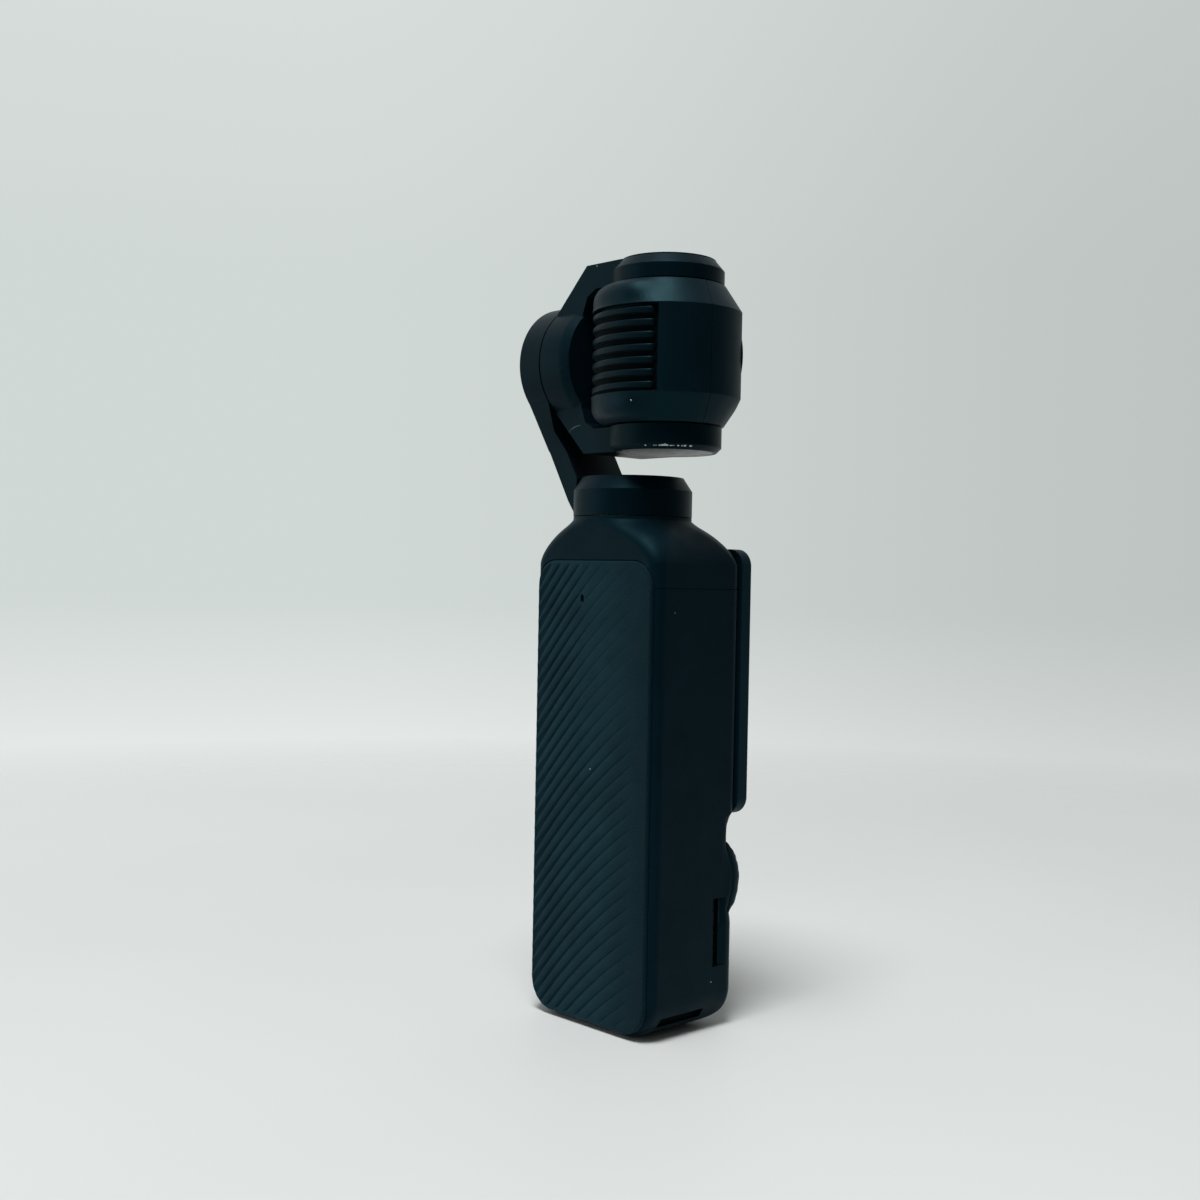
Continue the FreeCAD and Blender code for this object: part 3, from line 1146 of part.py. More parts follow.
def cooling_fins():
    base_radius = "(drum_radius - fin_recess_depth)"
    fins = [sector("fin_base_plate", f"{base_radius} + fin_base", f"{base_radius} + fit / 2",
                   f"{ROLL} - fin_recess_half + gap", f"{ROLL} + fin_recess_half - gap",
                   "fin_recess_angle - 1")]
    for index in range(int(value("fin_count"))):
        middle = f"({ROLL} + ({index} - (fin_count - 1) / 2) * fin_pitch)"
        fins.append(sector(f"fin_{index}", "drum_radius - fin_inset", f"{base_radius} + fit / 2",
                           f"{middle} - fin_thickness / 2", f"{middle} + fin_thickness / 2",
                           "fin_half_angle"))
    node(headed(fuse("fins", *fins)), "heat_sink")


def build():
    handle_shell()
    shoulder_cover()
    grip_panel()
    electronics()
    base_parts()
    front_parts()
    controls()
    screen()
    pan_arm()
    pan_motor()
    roll_motor()
    yoke()
    tilt_parts()
    camera_head()


def check_and_write():
    doc.recompute()
    for item in doc.Objects:
        if "Invalid" in item.State or "Error" in item.State:
            raise RuntimeError(f"{item.Name} failed: {item.State}")
    os.makedirs("parts", exist_ok=True)
    for item in NODES:
        if item.Shape.isNull() or not item.Shape.isValid() or not item.Shape.Solids:
            raise RuntimeError(f"{item.Label} has no sound solid")
        item.Shape.exportStep(f"parts/{item.Label}.step")
    print(len(NODES), "pieces written")


build()
check_and_write()
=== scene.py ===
import json
import math
import random
from itertools import product

import bmesh
import bpy
from mathutils import Matrix, Vector
from mathutils.geometry import delaunay_2d_cdt

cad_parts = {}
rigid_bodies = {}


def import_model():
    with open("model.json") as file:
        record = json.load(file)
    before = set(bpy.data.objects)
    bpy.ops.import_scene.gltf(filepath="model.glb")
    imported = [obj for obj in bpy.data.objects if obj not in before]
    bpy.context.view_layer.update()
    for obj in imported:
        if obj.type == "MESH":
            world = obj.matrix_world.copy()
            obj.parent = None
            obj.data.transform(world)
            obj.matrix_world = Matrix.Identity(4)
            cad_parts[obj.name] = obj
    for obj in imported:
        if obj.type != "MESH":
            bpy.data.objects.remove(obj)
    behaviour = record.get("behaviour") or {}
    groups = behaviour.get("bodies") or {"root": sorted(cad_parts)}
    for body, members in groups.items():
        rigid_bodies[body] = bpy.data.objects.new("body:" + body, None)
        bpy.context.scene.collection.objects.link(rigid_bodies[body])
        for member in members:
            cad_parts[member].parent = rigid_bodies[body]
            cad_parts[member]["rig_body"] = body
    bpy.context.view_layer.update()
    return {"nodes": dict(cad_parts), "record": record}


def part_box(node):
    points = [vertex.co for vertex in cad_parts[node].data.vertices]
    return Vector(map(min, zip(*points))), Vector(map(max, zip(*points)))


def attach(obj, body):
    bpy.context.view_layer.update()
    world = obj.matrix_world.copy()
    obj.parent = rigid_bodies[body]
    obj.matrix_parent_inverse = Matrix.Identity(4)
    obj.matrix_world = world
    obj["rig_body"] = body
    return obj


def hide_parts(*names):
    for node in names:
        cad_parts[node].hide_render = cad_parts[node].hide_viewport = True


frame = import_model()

NODES = frame["nodes"]
MM = 0.001
WELD = 1e-6
dice = random.Random(11)

# Places of the construction, in millimetres and degrees
PANEL_FACE = 9.9
PANEL_TOP_RADIUS = 4.7
PANEL_LOW_RADIUS = 5.6
TILT_X = -8.15
ROLL_Z = 122.34
LENS_HEADING = 26.5

# Colours, as the photograph's exposure shows them
CASING = (0.0014, 0.0085, 0.0135)
GRIP = (0.0062, 0.0228, 0.0322)
HEAD = (0.0012, 0.0072, 0.0115)
FIN = (0.0014, 0.0058, 0.0085)
SHEEN = (0.2, 0.8, 1.0)
SATIN = (0.1, 0.108, 0.1)


# Materials

EDGE_FLAT = 0.995
EDGE_TURNED = 0.93


def set_range(item, low, high, out_low, out_high):
    """Sets the four values of a map range node."""
    names = ("From Min", "From Max", "To Min", "To Max")
    for name, amount in zip(names, (low, high, out_low, out_high)):
        item.inputs[name].default_value = amount


class Shader:
    """A material with short ways to add and join its nodes."""

    def __init__(self, name, colour, roughness, metallic=0.0, specular=0.5, tint=(1, 1, 1)):
        self.material = bpy.data.materials.new(name)
        self.material.use_nodes = True
        self.nodes = self.material.node_tree.nodes
        self.links = self.material.node_tree.links
        self.surface = self.nodes["Principled BSDF"]
        self.place = self.nodes.new("ShaderNodeTexCoord").outputs["Object"]
        self.set("Base Color", (*colour, 1))
        self.set("Roughness", roughness)
        self.set("Metallic", metallic)
        self.set("Specular IOR Level", specular)
        self.set("Specular Tint", (*tint, 1))
        self.material.diffuse_color = (*colour, 1)

    def set(self, name, amount):
        self.surface.inputs[name].default_value = amount

    def noise(self, size, detail=2.0, stretch=None):
        """Noise whose features are about size millimetres across."""
        item = self.nodes.new("ShaderNodeTexNoise")
        item.inputs["Scale"].default_value = 1 / (size * MM)
        item.inputs["Detail"].default_value = detail
        vector = self.place
        if stretch:
            mapping = self.nodes.new("ShaderNodeMapping")
            mapping.inputs["Scale"].default_value = stretch
            self.links.new(vector, mapping.inputs["Vector"])
            vector = mapping.outputs["Vector"]
        self.links.new(vector, item.inputs["Vector"])
        return item.outputs["Fac"]

    def across(self, low, high):
        """0 to 1 along X, between two places in millimetres."""
        parts = self.nodes.new("ShaderNodeSeparateXYZ")
        self.links.new(self.place, parts.inputs["Vector"])
        return self.spread(parts.outputs["X"], low * MM, high * MM, 0, 1)

    def cells(self, size, feature="F1"):
        item = self.nodes.new("ShaderNodeTexVoronoi")
        item.feature = feature
        item.inputs["Scale"].default_value = 1 / (size * MM)
        self.links.new(self.place, item.inputs["Vector"])
        return item.outputs["Distance"]

    def spread(self, source, low, high, out_low, out_high):
        """A source's values from low to high, spread over out_low to out_high."""
        item = self.nodes.new("ShaderNodeMapRange")
        set_range(item, low, high, out_low, out_high)
        self.links.new(source, item.inputs["Value"])
        return item.outputs["Result"]

    def times(self, first, second):
        item = self.nodes.new("ShaderNodeMath")
        item.operation = "MULTIPLY"
        self.links.new(first, item.inputs[0])
        self.links.new(second, item.inputs[1])
        return item.outputs["Value"]

    def mix(self, factor, first, second):
        """Colours mixed by a factor; each is a colour or another mix."""
        item = self.nodes.new("ShaderNodeMix")
        item.data_type = "RGBA"
        self.links.new(factor, item.inputs["Factor"])
        for socket, source in ((item.inputs[6], first), (item.inputs[7], second)):
            if isinstance(source, tuple):
                socket.default_value = (*source, 1)
            else:
                self.links.new(source, socket)
        return item.outputs[2]

    def feed(self, name, source):
        self.links.new(source, self.surface.inputs[name])

    def relief(self, height, depth, strength=1.0):
        """Surface relief of depth millimetres."""
        item = self.nodes.new("ShaderNodeBump")
        item.inputs["Strength"].default_value = strength
        item.inputs["Distance"].default_value = depth * MM
        self.links.new(height, item.inputs["Height"])
        self.links.new(item.outputs["Normal"], self.surface.inputs["Normal"])

    def edges(self, radius):
        """1 near outer edges and 0 on flat faces."""
        bevel = self.nodes.new("ShaderNodeBevel")
        bevel.samples = 4
        bevel.inputs["Radius"].default_value = radius * MM
        shape = self.nodes.new("ShaderNodeNewGeometry")
        dot = self.nodes.new("ShaderNodeVectorMath")
        dot.operation = "DOT_PRODUCT"
        self.links.new(bevel.outputs["Normal"], dot.inputs[0])
        self.links.new(shape.outputs["Normal"], dot.inputs[1])
        return self.spread(dot.outputs["Value"], EDGE_FLAT, EDGE_TURNED, 0, 1)


def scaled(colour, share):
    return tuple(part * share for part in colour)


def moulded(name, colour, roughness, grain=0.14, depth=0.006, specular=0.08, worn=0.35, painted_shade_x=None):
    """Fine-grained moulded plastic: cloudy colour, pale specks, uneven gloss, rubbed edges and, where asked,
    painted shade that darkens it towards low X.
    """
    look = Shader(name, colour, roughness, specular=specular, tint=SHEEN)
    look.set("Sheen Weight", 0.1)
    look.set("Sheen Roughness", 0.3)
    look.set("Sheen Tint", (0.55, 0.85, 1.0, 1))
    cloud = look.spread(look.noise(7.0, 4.0), 0.3, 0.7, 0, 1)
    base = look.mix(cloud, scaled(colour, 0.86), scaled(colour, 1.16))
    # Painted shade: the colour falls to half at the low end of the X span given, the side that gets less
    # light.
    if painted_shade_x:
        base = look.mix(look.across(*painted_shade_x), scaled(colour, 0.5), base)
    speck = look.spread(look.noise(grain * 1.6, 1.0), 0.58, 0.8, 0, 0.5)
    specked = look.mix(speck, base, scaled(colour, 1.9))
    rubbed = look.times(look.edges(0.16), look.spread(look.noise(1.3, 5.0), 0.5, 0.72, 0, worn))
    look.feed("Base Color", look.mix(rubbed, specked, scaled(colour, 4.0)))
    gloss = look.spread(look.noise(3.0, 5.0), 0.3, 0.7, roughness - 0.05, roughness + 0.06)
    look.feed("Roughness", gloss)
    look.relief(look.noise(grain, 3.0), depth, 0.8)
    return look.material


def coated_metal(name, colour, roughness, grain=0.1, depth=0.003, specular=0.13):
    """Bead-blasted and painted metal: finer than plastic, with brighter worn edges."""
    look = Shader(name, colour, roughness, specular=specular, tint=SHEEN)
    cloud = look.spread(look.noise(11.0, 3.0), 0.3, 0.7, 0, 1)
    base = look.mix(cloud, scaled(colour, 0.88), scaled(colour, 1.14))
    rubbed = look.times(look.edges(0.14), look.spread(look.noise(0.9, 5.0), 0.54, 0.7, 0, 0.6))
    look.feed("Base Color", look.mix(rubbed, base, (0.035, 0.045, 0.05)))
    gloss = look.spread(look.noise(2.4, 5.0), 0.3, 0.7, roughness - 0.02, roughness + 0.03)
    look.feed("Roughness", gloss)
    look.relief(look.noise(grain, 2.0), depth, 0.7)
    return look.material


def spun_metal(name, colour, roughness, stretch=(1, 1, 1), metallic=0.6):
    """Satin metal with fine tool marks."""
    look = Shader(name, colour, roughness, metallic=metallic)
    marks = look.noise(0.35, 4.0, stretch)
    streaks = look.spread(marks, 0.35, 0.65, 0, 1)
    look.feed("Base Color", look.mix(streaks, scaled(colour, 0.8), scaled(colour, 1.2)))
    gloss = look.spread(look.noise(1.6, 4.0), 0.3, 0.7, roughness - 0.06, roughness + 0.08)
    look.feed("Roughness", gloss)
    look.relief(marks, 0.004, 0.6)
    return look.material


def rubber(name, colour, roughness=0.75, grain=0.2):
    look = Shader(name, colour, roughness, specular=0.3)
    dust = look.spread(look.noise(0.8, 6.0), 0.6, 0.8, 0, 0.4)
    look.feed("Base Color", look.mix(dust, colour, scaled(colour, 2.6)))
    look.feed("Roughness", look.spread(look.noise(2.0, 4.0), 0.3, 0.7, roughness - 0.06, roughness + 0.1))
    look.relief(look.noise(grain, 3.0), 0.012, 0.9)
    return look.material


def board_green(name, colour):
    """Solder resist with the traces under it."""
    look = Shader(name, colour, 0.38)
    traces = look.spread(look.cells(1.4, "DISTANCE_TO_EDGE"), 0.03, 0.06, 1, 0)
    look.feed("Base Color", look.mix(traces, colour, scaled(colour, 1.8)))
    look.feed("Roughness", look.spread(look.noise(3.0, 3.0), 0.3, 0.7, 0.3, 0.46))
    look.relief(traces, 0.02, 0.6)
    return look.material


def windings(name, colour):
    """Enamelled wire, wound closely."""
    look = Shader(name, colour, 0.3, metallic=0.9)
    turns = look.nodes.new("ShaderNodeTexWave")
    turns.inputs["Scale"].default_value = 1 / (1.2 * MM)
    turns.inputs["Distortion"].default_value = 0.6
    look.links.new(look.place, turns.inputs["Vector"])
    look.feed("Base Color", look.mix(turns.outputs["Fac"], scaled(colour, 0.5), scaled(colour, 1.2)))
    look.feed("Roughness", look.spread(look.noise(1.0), 0.3, 0.7, 0.22, 0.4))
    look.relief(turns.outputs["Fac"], 0.05, 0.8)
    return look.material


def wrapped_foil(name, colour):
    """The creased wrap of a battery cell."""
    look = Shader(name, colour, 0.35, metallic=0.2)
    crease = look.noise(5.0, 6.0)
    folds = look.spread(crease, 0.35, 0.65, 0, 1)
    look.feed("Base Color", look.mix(folds, scaled(colour, 0.8), scaled(colour, 1.15)))
    look.feed("Roughness", look.spread(look.noise(2.0, 4.0), 0.3, 0.7, 0.28, 0.5))
    look.relief(crease, 0.08, 0.7)
    return look.material


def dark_glass(name):
    """Cover glass over a display that is off: a faint picture area and finger marks."""
    look = Shader(name, (0.0022, 0.0026, 0.003), 0.06, specular=0.5)
    look.set("Coat Weight", 0.6)
    look.set("Coat Roughness", 0.03)
    smear = look.spread(look.noise(6.0, 6.0), 0.45, 0.75, 0, 1)
    look.feed("Base Color", look.mix(smear, (0.0018, 0.0021, 0.0026), (0.0045, 0.005, 0.006)))
    look.feed("Roughness", look.spread(look.noise(4.0, 6.0), 0.4, 0.75, 0.05, 0.17))
    look.relief(look.noise(18.0, 1.0), 0.01, 0.15)
    return look.material


def coated_glass(name, tint, roughness=0.02):
    """A coated lens: clear, with a coloured reflection and a little dust."""
    look = Shader(name, (0.9, 0.93, 0.95), roughness)
    look.set("Transmission Weight", 1.0)
    look.set("IOR", 1.5)
    look.set("Specular Tint", (*tint, 1))
    look.set("Coat Weight", 0.5)
    look.set("Coat Tint", (*tint, 1))
    look.feed("Roughness", look.spread(look.noise(0.5, 6.0), 0.55, 0.9, roughness, roughness + 0.12))
    look.relief(look.noise(9.0, 1.0), 0.004, 0.2)
    return look.material


def glow_plastic(name, colour, roughness=0.3):
    """Milky plastic that spreads light."""
    look = Shader(name, colour, roughness)
    look.set("Subsurface Weight", 0.4)
    look.set("Subsurface Radius", (MM, MM, MM))
    cloud = look.spread(look.noise(1.5), 0.3, 0.7, 0, 1)
    look.feed("Base Color", look.mix(cloud, scaled(colour, 0.85), colour))
    look.relief(look.noise(0.2), 0.004, 0.5)
    return look.material


LOOKS = {
    "casing": moulded("casing_plastic", CASING, 0.52),
    # The grip carries painted shade, darker towards its smooth side at low X.
    "grip": moulded("grip_plastic", GRIP, 0.6, grain=0.2, depth=0.022, specular=0.1, worn=0.5,
                    painted_shade_x=(-15.5, -3)),
    "cell_foil": wrapped_foil("cell_wrap", (0.05, 0.1, 0.2)),
    "circuit_board": board_green("solder_resist", (0.008, 0.045, 0.02)),
    "copper": spun_metal("copper_sheet", (0.55, 0.25, 0.12), 0.35, metallic=1.0),
    "screw_steel": spun_metal("screw_steel", (0.4, 0.41, 0.43), 0.3, metallic=1.0),
    "inner_plastic": moulded("inner_plastic", (0.012, 0.012, 0.013), 0.6),
    "light_guide": glow_plastic("light_guide", (0.55, 0.57, 0.58)),
    "windings": windings("wound_copper", (0.45, 0.2, 0.08)),
    "bearing_steel": spun_metal("bearing_steel", (0.5, 0.51, 0.53), 0.22, metallic=1.0),
    "magnet": spun_metal("plated_magnet", (0.3, 0.3, 0.31), 0.28, metallic=1.0),
    "screen_casing": moulded("screen_casing", scaled(CASING, 1.7), 0.5, specular=0.1),
    "display": dark_glass("display_glass"),
    "cover_glass": dark_glass("cover_glass"),
    "control_rubber": rubber("control_rubber", (0.007, 0.008, 0.009)),
    "button_plastic": moulded("button_plastic", (0.009, 0.011, 0.013), 0.42, grain=0.12),
    "button_mark": glow_plastic("button_mark", (0.55, 0.02, 0.015)),
    "gimbal_alloy": coated_metal("gimbal_paint", HEAD, 0.42, specular=0.08),
    "bare_alloy": spun_metal("satin_alloy", SATIN, 0.42),
    "camera_casing": coated_metal("camera_paint", HEAD, 0.47, specular=0.14),
    "fin_alloy": coated_metal("fin_paint", FIN, 0.42, specular=0.1),
    "lens_black": moulded("lens_black", (0.004, 0.004, 0.0045), 0.55),
    "lens_coating": coated_glass("lens_coating", (0.45, 0.55, 1.0)),
}
CHIPPED = moulded("chipped_paint", (0.62, 0.63, 0.62), 0.5, specular=0.3)
RUBBED = moulded("rubbed_paint", (0.05, 0.09, 0.1), 0.45, specular=0.3)
# Painted shade: a near-black material for the shade that falls between the fins and inside the handle's
# slots.
PAINTED_SHADE_BLACK = moulded("painted_shade_black", (0.0012, 0.0022, 0.0028), 0.7, specular=0.05)
SLOT_OF = {item["node"]: item["material_slot"] for item in frame["record"]["subparts"]}


# Pieces in mesh code


def finished(name, mesh, body, slot, material=None, smooth=40, replaced=()):
    """Makes an object of a bmesh, shades it, and puts it on its body."""
    bmesh.ops.recalc_face_normals(mesh, faces=mesh.faces)
    limit = math.radians(smooth)
    for edge in mesh.edges:
        edge.smooth = not (len(edge.link_faces) == 2 and edge.calc_face_angle() > limit)
    for face in mesh.faces:
        face.smooth = True
    data = bpy.data.meshes.new(name)
    mesh.to_mesh(data)
    mesh.free()
    data.materials.append(material or LOOKS[slot])
    piece = bpy.data.objects.new(name, data)
    bpy.context.scene.collection.objects.link(piece)
    weighted = piece.modifiers.new("flat_faces", "WEIGHTED_NORMAL")
    weighted.keep_sharp = True
    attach(piece, body)
    if replaced:
        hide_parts(*replaced)
    return piece


def sliced(mesh, levels, axis, wanted=None):
    """Cuts the wanted faces by planes square to an axis, at places in millimetres."""
    normal = [0, 0, 0]
    normal[axis] = 1
    for level in levels:
        faces = [face for face in mesh.faces if wanted is None or wanted(face.calc_center_median() / MM)]
        edges = {edge for face in faces for edge in face.edges}
        verts = {vertex for face in faces for vertex in face.verts}
        bmesh.ops.bisect_plane(mesh, geom=[*faces, *edges, *verts], dist=WELD, plane_no=normal,
                               plane_co=[part * level * MM for part in normal])


SHARP_ANGLE = 26
FLAT_ANGLE = 0.5
EDGE_SEGMENTS = 3
LATHE_STEPS = 96


def softened(node, radius, reshape=None):
    """A node's own form with its sharp edges rounded by radius millimetres."""
    source = NODES[node]
    mesh = bmesh.new()
    mesh.from_mesh(source.data)
    bmesh.ops.remove_doubles(mesh, verts=mesh.verts, dist=WELD)
    bmesh.ops.dissolve_limit(mesh, angle_limit=math.radians(FLAT_ANGLE), verts=mesh.verts,
                             edges=mesh.edges)
    if reshape:
        reshape(mesh)
    limit = math.radians(SHARP_ANGLE)
    picked = [edge for edge in mesh.edges
              if len(edge.link_faces) == 2 and edge.calc_face_angle() > limit]
    bmesh.ops.bevel(mesh, geom=picked, offset=radius * MM, offset_type="OFFSET", segments=EDGE_SEGMENTS,
                    profile=0.5, affect="EDGES", clamp_overlap=True)
    return finished(node + "_body", mesh, source["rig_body"], SLOT_OF[node], replaced=(node,))


def lathe(mesh, profile, place):
    """Turns (radius, height) points about a local Z axis, then moves the result by a matrix."""
    rings = []
    for radius, height in profile:
        if radius < 1e-6:
            rings.append([mesh.verts.new(place @ Vector((0, 0, height * MM)))])
            continue
        ring = []
        for step in range(LATHE_STEPS):
            angle = 2 * math.pi * step / LATHE_STEPS
            point = Vector((radius * math.cos(angle), radius * math.sin(angle), height)) * MM
            ring.append(mesh.verts.new(place @ point))
        rings.append(ring)
    for lower, upper in zip(rings, rings[1:]):
        for step in range(LATHE_STEPS):
            after = (step + 1) % LATHE_STEPS
            corners = []
            for ring, index in ((lower, step), (lower, after), (upper, after), (upper, step)):
                vertex = ring[index % len(ring)]
                if vertex not in corners:
                    corners.append(vertex)
            if len(corners) > 2:
                mesh.faces.new(corners)


def rounded_profile(corners, radius, steps=4):
    """A list of (radius, height) corners with the inner ones rounded."""
    points = [corners[0]]
    for before, corner, after in zip(corners, corners[1:], corners[2:]):
        middle = Vector(corner)
        to_before = (Vector(before) - middle)
        to_after = (Vector(after) - middle)
        reach = min(radius, to_before.length / 2.1, to_after.length / 2.1)
        start = middle + to_before.normalized() * reach
        end = middle + to_after.normalized() * reach
        for step in range(steps + 1):
            t = step / steps
            bend = start * (1 - t) ** 2 + middle * 2 * t * (1 - t) + end * t ** 2
            points.append((bend.x, bend.y))
    points.append(corners[-1])
    return points


def along(axis_point, direction):
    """A matrix whose Z axis points in a direction, through a point in millimetres."""
    turn = Vector(direction).normalized().to_track_quat("Z", "Y").to_matrix().to_4x4()
    return Matrix.Translation(Vector(axis_point) * MM) @ turn


# Grip panel: diagonal ribs, deep at the left of the photograph and fading to the right

RIM = 0.42
RIB_PITCH = 2.8
RIB_OFFSET = 1.1
RIB_SLOPE = 0.9
RIB_BEND = 0.01125
RIB_STEP = 0.5
GROOVE_DEPTH = 0.34
GROOVE_FORM = (
    (-1.15, 0.0), (-0.9, 0.14), (-0.6, 0.78), (0.0, 1.0), (0.6, 0.78), (0.9, 0.14), (1.15, 0.0),
)
PANEL_HALF = 15.1
RIM_STEPS = 5
CORNER_STEPS = 14
EDGE_RUNS = (34, 240, 34, 110)
MIC_HOLE = (2.7, 78.2, 0.9, 1.6)
MIC_CLEAR = 0.95


def blend_step(low, high, x):
    """A smooth step from 0 at low to 1 at high."""
    t = min(1.0, max(0.0, (x - low) / (high - low)))
    return t * t * (3 - 2 * t)


def rib_rise(x):
    """How much lower a rib lies at the place x than at the middle of the panel."""
    return RIB_SLOPE * x + RIB_BEND * x * x


def groove_width(x):
    """Half width of a groove, measured upwards."""
    return 0.16 + 0.34 * blend_step(-8, 12, x) + 0.75 * blend_step(11.2, 14.6, x)


def groove_depth(x, z):
    """Depth of a groove's middle, less at one side and near the top."""
    side = (0.3 + 0.7 * blend_step(-9, 9, x)) * blend_step(-12.2, -8.2, x) + 0.3 * blend_step(7, 13, x)
    calm = 1 - 0.72 * blend_step(44, 62, z) * (1 - blend_step(0, 7, x))
    return GROOVE_DEPTH * side * calm


def rib_lines(x):
    """The heights of a groove's lines about its middle at x, each with its share of the depth."""
    width = groove_width(x)
    fill = min(1.0, RIB_PITCH / 2.05 / (GROOVE_FORM[-1][0] * width))
    return [(offset * width * fill, share) for offset, share in GROOVE_FORM]


def groove_at(x, z, low, high):
    """How deep the panel's face lies at a place."""
    offset = (z + rib_rise(x) - RIB_OFFSET + RIB_PITCH / 2) % RIB_PITCH - RIB_PITCH / 2
    lines = rib_lines(x)
    for (first, first_share), (last, last_share) in zip(lines, lines[1:]):
        if first <= offset <= last:
            share = first_share + (last_share - first_share) * (offset - first) / (last - first)
            return share * groove_depth(x, z) * run_out(x, z, low, high)
    return 0.0


def run_out(x, z, low, high):
    """1 on the panel and 0 at its ends and its smooth side."""
    edge = min(PANEL_HALF + x, z - low.z / MM, high.z / MM - z)
    return blend_step(RIM, RIM + 0.9, edge)


def panel_loop(inset, low, high):
    """Points of the panel's outline, inset by some millimetres, anticlockwise in x and z."""
    side = (high.x - low.x) / 2 / MM - inset
    bottom = low.z / MM + inset
    top = high.z / MM - inset
    corners = (
        (-side, bottom, PANEL_LOW_RADIUS, 180), (side, bottom, PANEL_LOW_RADIUS, 270),
        (side, top, PANEL_TOP_RADIUS, 0), (-side, top, PANEL_TOP_RADIUS, 90),
    )
    arcs = []
    for x, z, radius, start in corners:
        radius -= inset
        centre = Vector((x - math.copysign(radius, x), z + (radius if start >= 180 else -radius)))
        arc = []
        for step in range(CORNER_STEPS + 1):
            angle = math.radians(start + 90 * step / CORNER_STEPS)
            arc.append(centre + radius * Vector((math.cos(angle), math.sin(angle))))
        arcs.append(arc)
    points = []
    for index, arc in enumerate(arcs):
        points.extend(arc)
        following = arcs[(index + 1) % 4][0]
        for step in range(1, EDGE_RUNS[index]):
            points.append(arc[-1].lerp(following, step / EDGE_RUNS[index]))
    return points


def inside_panel(x, z, low, high, margin):
    """True where a point lies inside the outline by more than the margin."""
    side = (high.x - low.x) / 2 / MM
    bottom = low.z / MM
    top = high.z / MM
    if abs(x) > side - margin or not bottom + margin < z < top - margin:
        return False
    for radius, edge, sense in ((PANEL_LOW_RADIUS, bottom, 1), (PANEL_TOP_RADIUS, top, -1)):
        dx = abs(x) - (side - radius)
        dz = sense * (edge + sense * radius - z)
        if dx > 0 and dz > 0 and math.hypot(dx, dz) > radius - margin:
            return False
    return True


def mic_loop(grow=0.0, steps=5):
    """A small upright slot with rounded ends."""
    x, z, width, tall = MIC_HOLE
    radius = width / 2 + grow
    straight = tall / 2 - width / 2
    points = []
    for start, shift in ((0, straight), (180, -straight)):
        for step in range(steps + 1):
            angle = math.radians(start + 180 * step / steps)
            points.append(Vector((x + radius * math.cos(angle), z + shift + radius * math.sin(angle))))
    return points


def rib_points(low, high, points, heights):
    """Adds the points of all grooves to the lists and gives the lines that join them."""
    limits = []
    before = {}
    for column in range(int(30 / RIB_STEP) + 1):
        x = -15 + column * RIB_STEP
        lines = [*rib_lines(x), (RIB_PITCH / 2, 0.0)]
        here = {}
        for index, (line, (offset, share)) in product(range(-20, 60), enumerate(lines)):
            z = RIB_OFFSET + index * RIB_PITCH + offset - rib_rise(x)
            if not inside_panel(x, z, low, high, RIM + 0.12):
                continue
            if math.hypot(x - MIC_HOLE[0], (z - MIC_HOLE[1]) * 0.7) < MIC_CLEAR:
                continue
            here[index, line] = len(points)
            if (index, line) in before:
                limits.append((before[index, line], len(points)))
            points.append(Vector((x, z)))
            heights.append(share * groove_depth(x, z) * run_out(x, z, low, high))
        before = here
    return limits


def ribbed_face(mesh, outline, hole, low, high):
    """Makes the ribbed face and gives the vertices of its outline and of its hole."""
    points = [*outline, *hole]
    heights = [groove_at(p.x, p.y, low, high) for p in outline] + [0.0] * len(hole)
    limits = rib_points(low, high, points, heights)
    count = len(outline)
    limits += [(i, (i + 1) % count) for i in range(count)]
    limits += [(count + i, count + (i + 1) % len(hole)) for i in range(len(hole))]
    found = delaunay_2d_cdt(points, limits, [], 1, 1e-5)
    places, faces, origins = found[0], found[2], found[3]
    vertices = []
    for place, origin in zip(places, origins):
        depth = heights[origin[0]] if origin else 0.0
        vertices.append(mesh.verts.new(Vector((place.x, PANEL_FACE - depth, place.y)) * MM))
    hole_x, hole_z, hole_width, hole_tall = MIC_HOLE
    for face in faces:
        middle = sum((places[i] for i in face), Vector((0, 0))) / len(face)
        if abs(middle.x - hole_x) < hole_width / 2 and abs(middle.y - hole_z) < hole_tall / 2:
            if all(count <= o[0] < count + len(hole) for o in (origins[i] for i in face) if o):
                continue
        mesh.faces.new([vertices[i] for i in face])
    where = {}
    for index, origin in enumerate(origins):
        for source in origin:
            where[source] = vertices[index]
    return [where[i] for i in range(count)], [where[count + i] for i in range(len(hole))]


def grip_panel():
    """The panel: its ribbed face, a rounded rim, flat sides and back, and the microphone hole."""
    low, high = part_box("grip_panel")
    back = low.y / MM
    turns = [math.radians(90 * step / RIM_STEPS) for step in range(RIM_STEPS + 1)]
    rings = [(RIM * (1 - math.cos(turn)), PANEL_FACE - RIM * (1 - math.sin(turn))) for turn in turns]
    outline = panel_loop(rings[-1][0], low, high)
    mesh = bmesh.new()
    inner, rim = ribbed_face(mesh, outline, mic_loop(), low, high)
    for inset, depth in reversed(rings[:-1]):
        places = []
        for flat, top in zip(panel_loop(inset, low, high), outline):
            dip = groove_at(top.x, top.y, low, high) * (inset / RIM) ** 1.5
            places.append(Vector((flat.x, depth - dip, flat.y)) * MM)
        inner = add_loop(mesh, inner, places)
    inner = add_loop(mesh, inner, [Vector((p.x, back, p.y)) * MM for p in panel_loop(0, low, high)])
    mesh.faces.new(inner)
    hole_floor = back + 0.05
    floor = add_loop(mesh, rim, [Vector((p.x, hole_floor, p.y)) * MM for p in mic_loop(-0.03)])
    mesh.faces.new(floor)
    finished("grip_panel_ribbed", mesh, "handle", "grip", smooth=50, replaced=("grip_panel",))


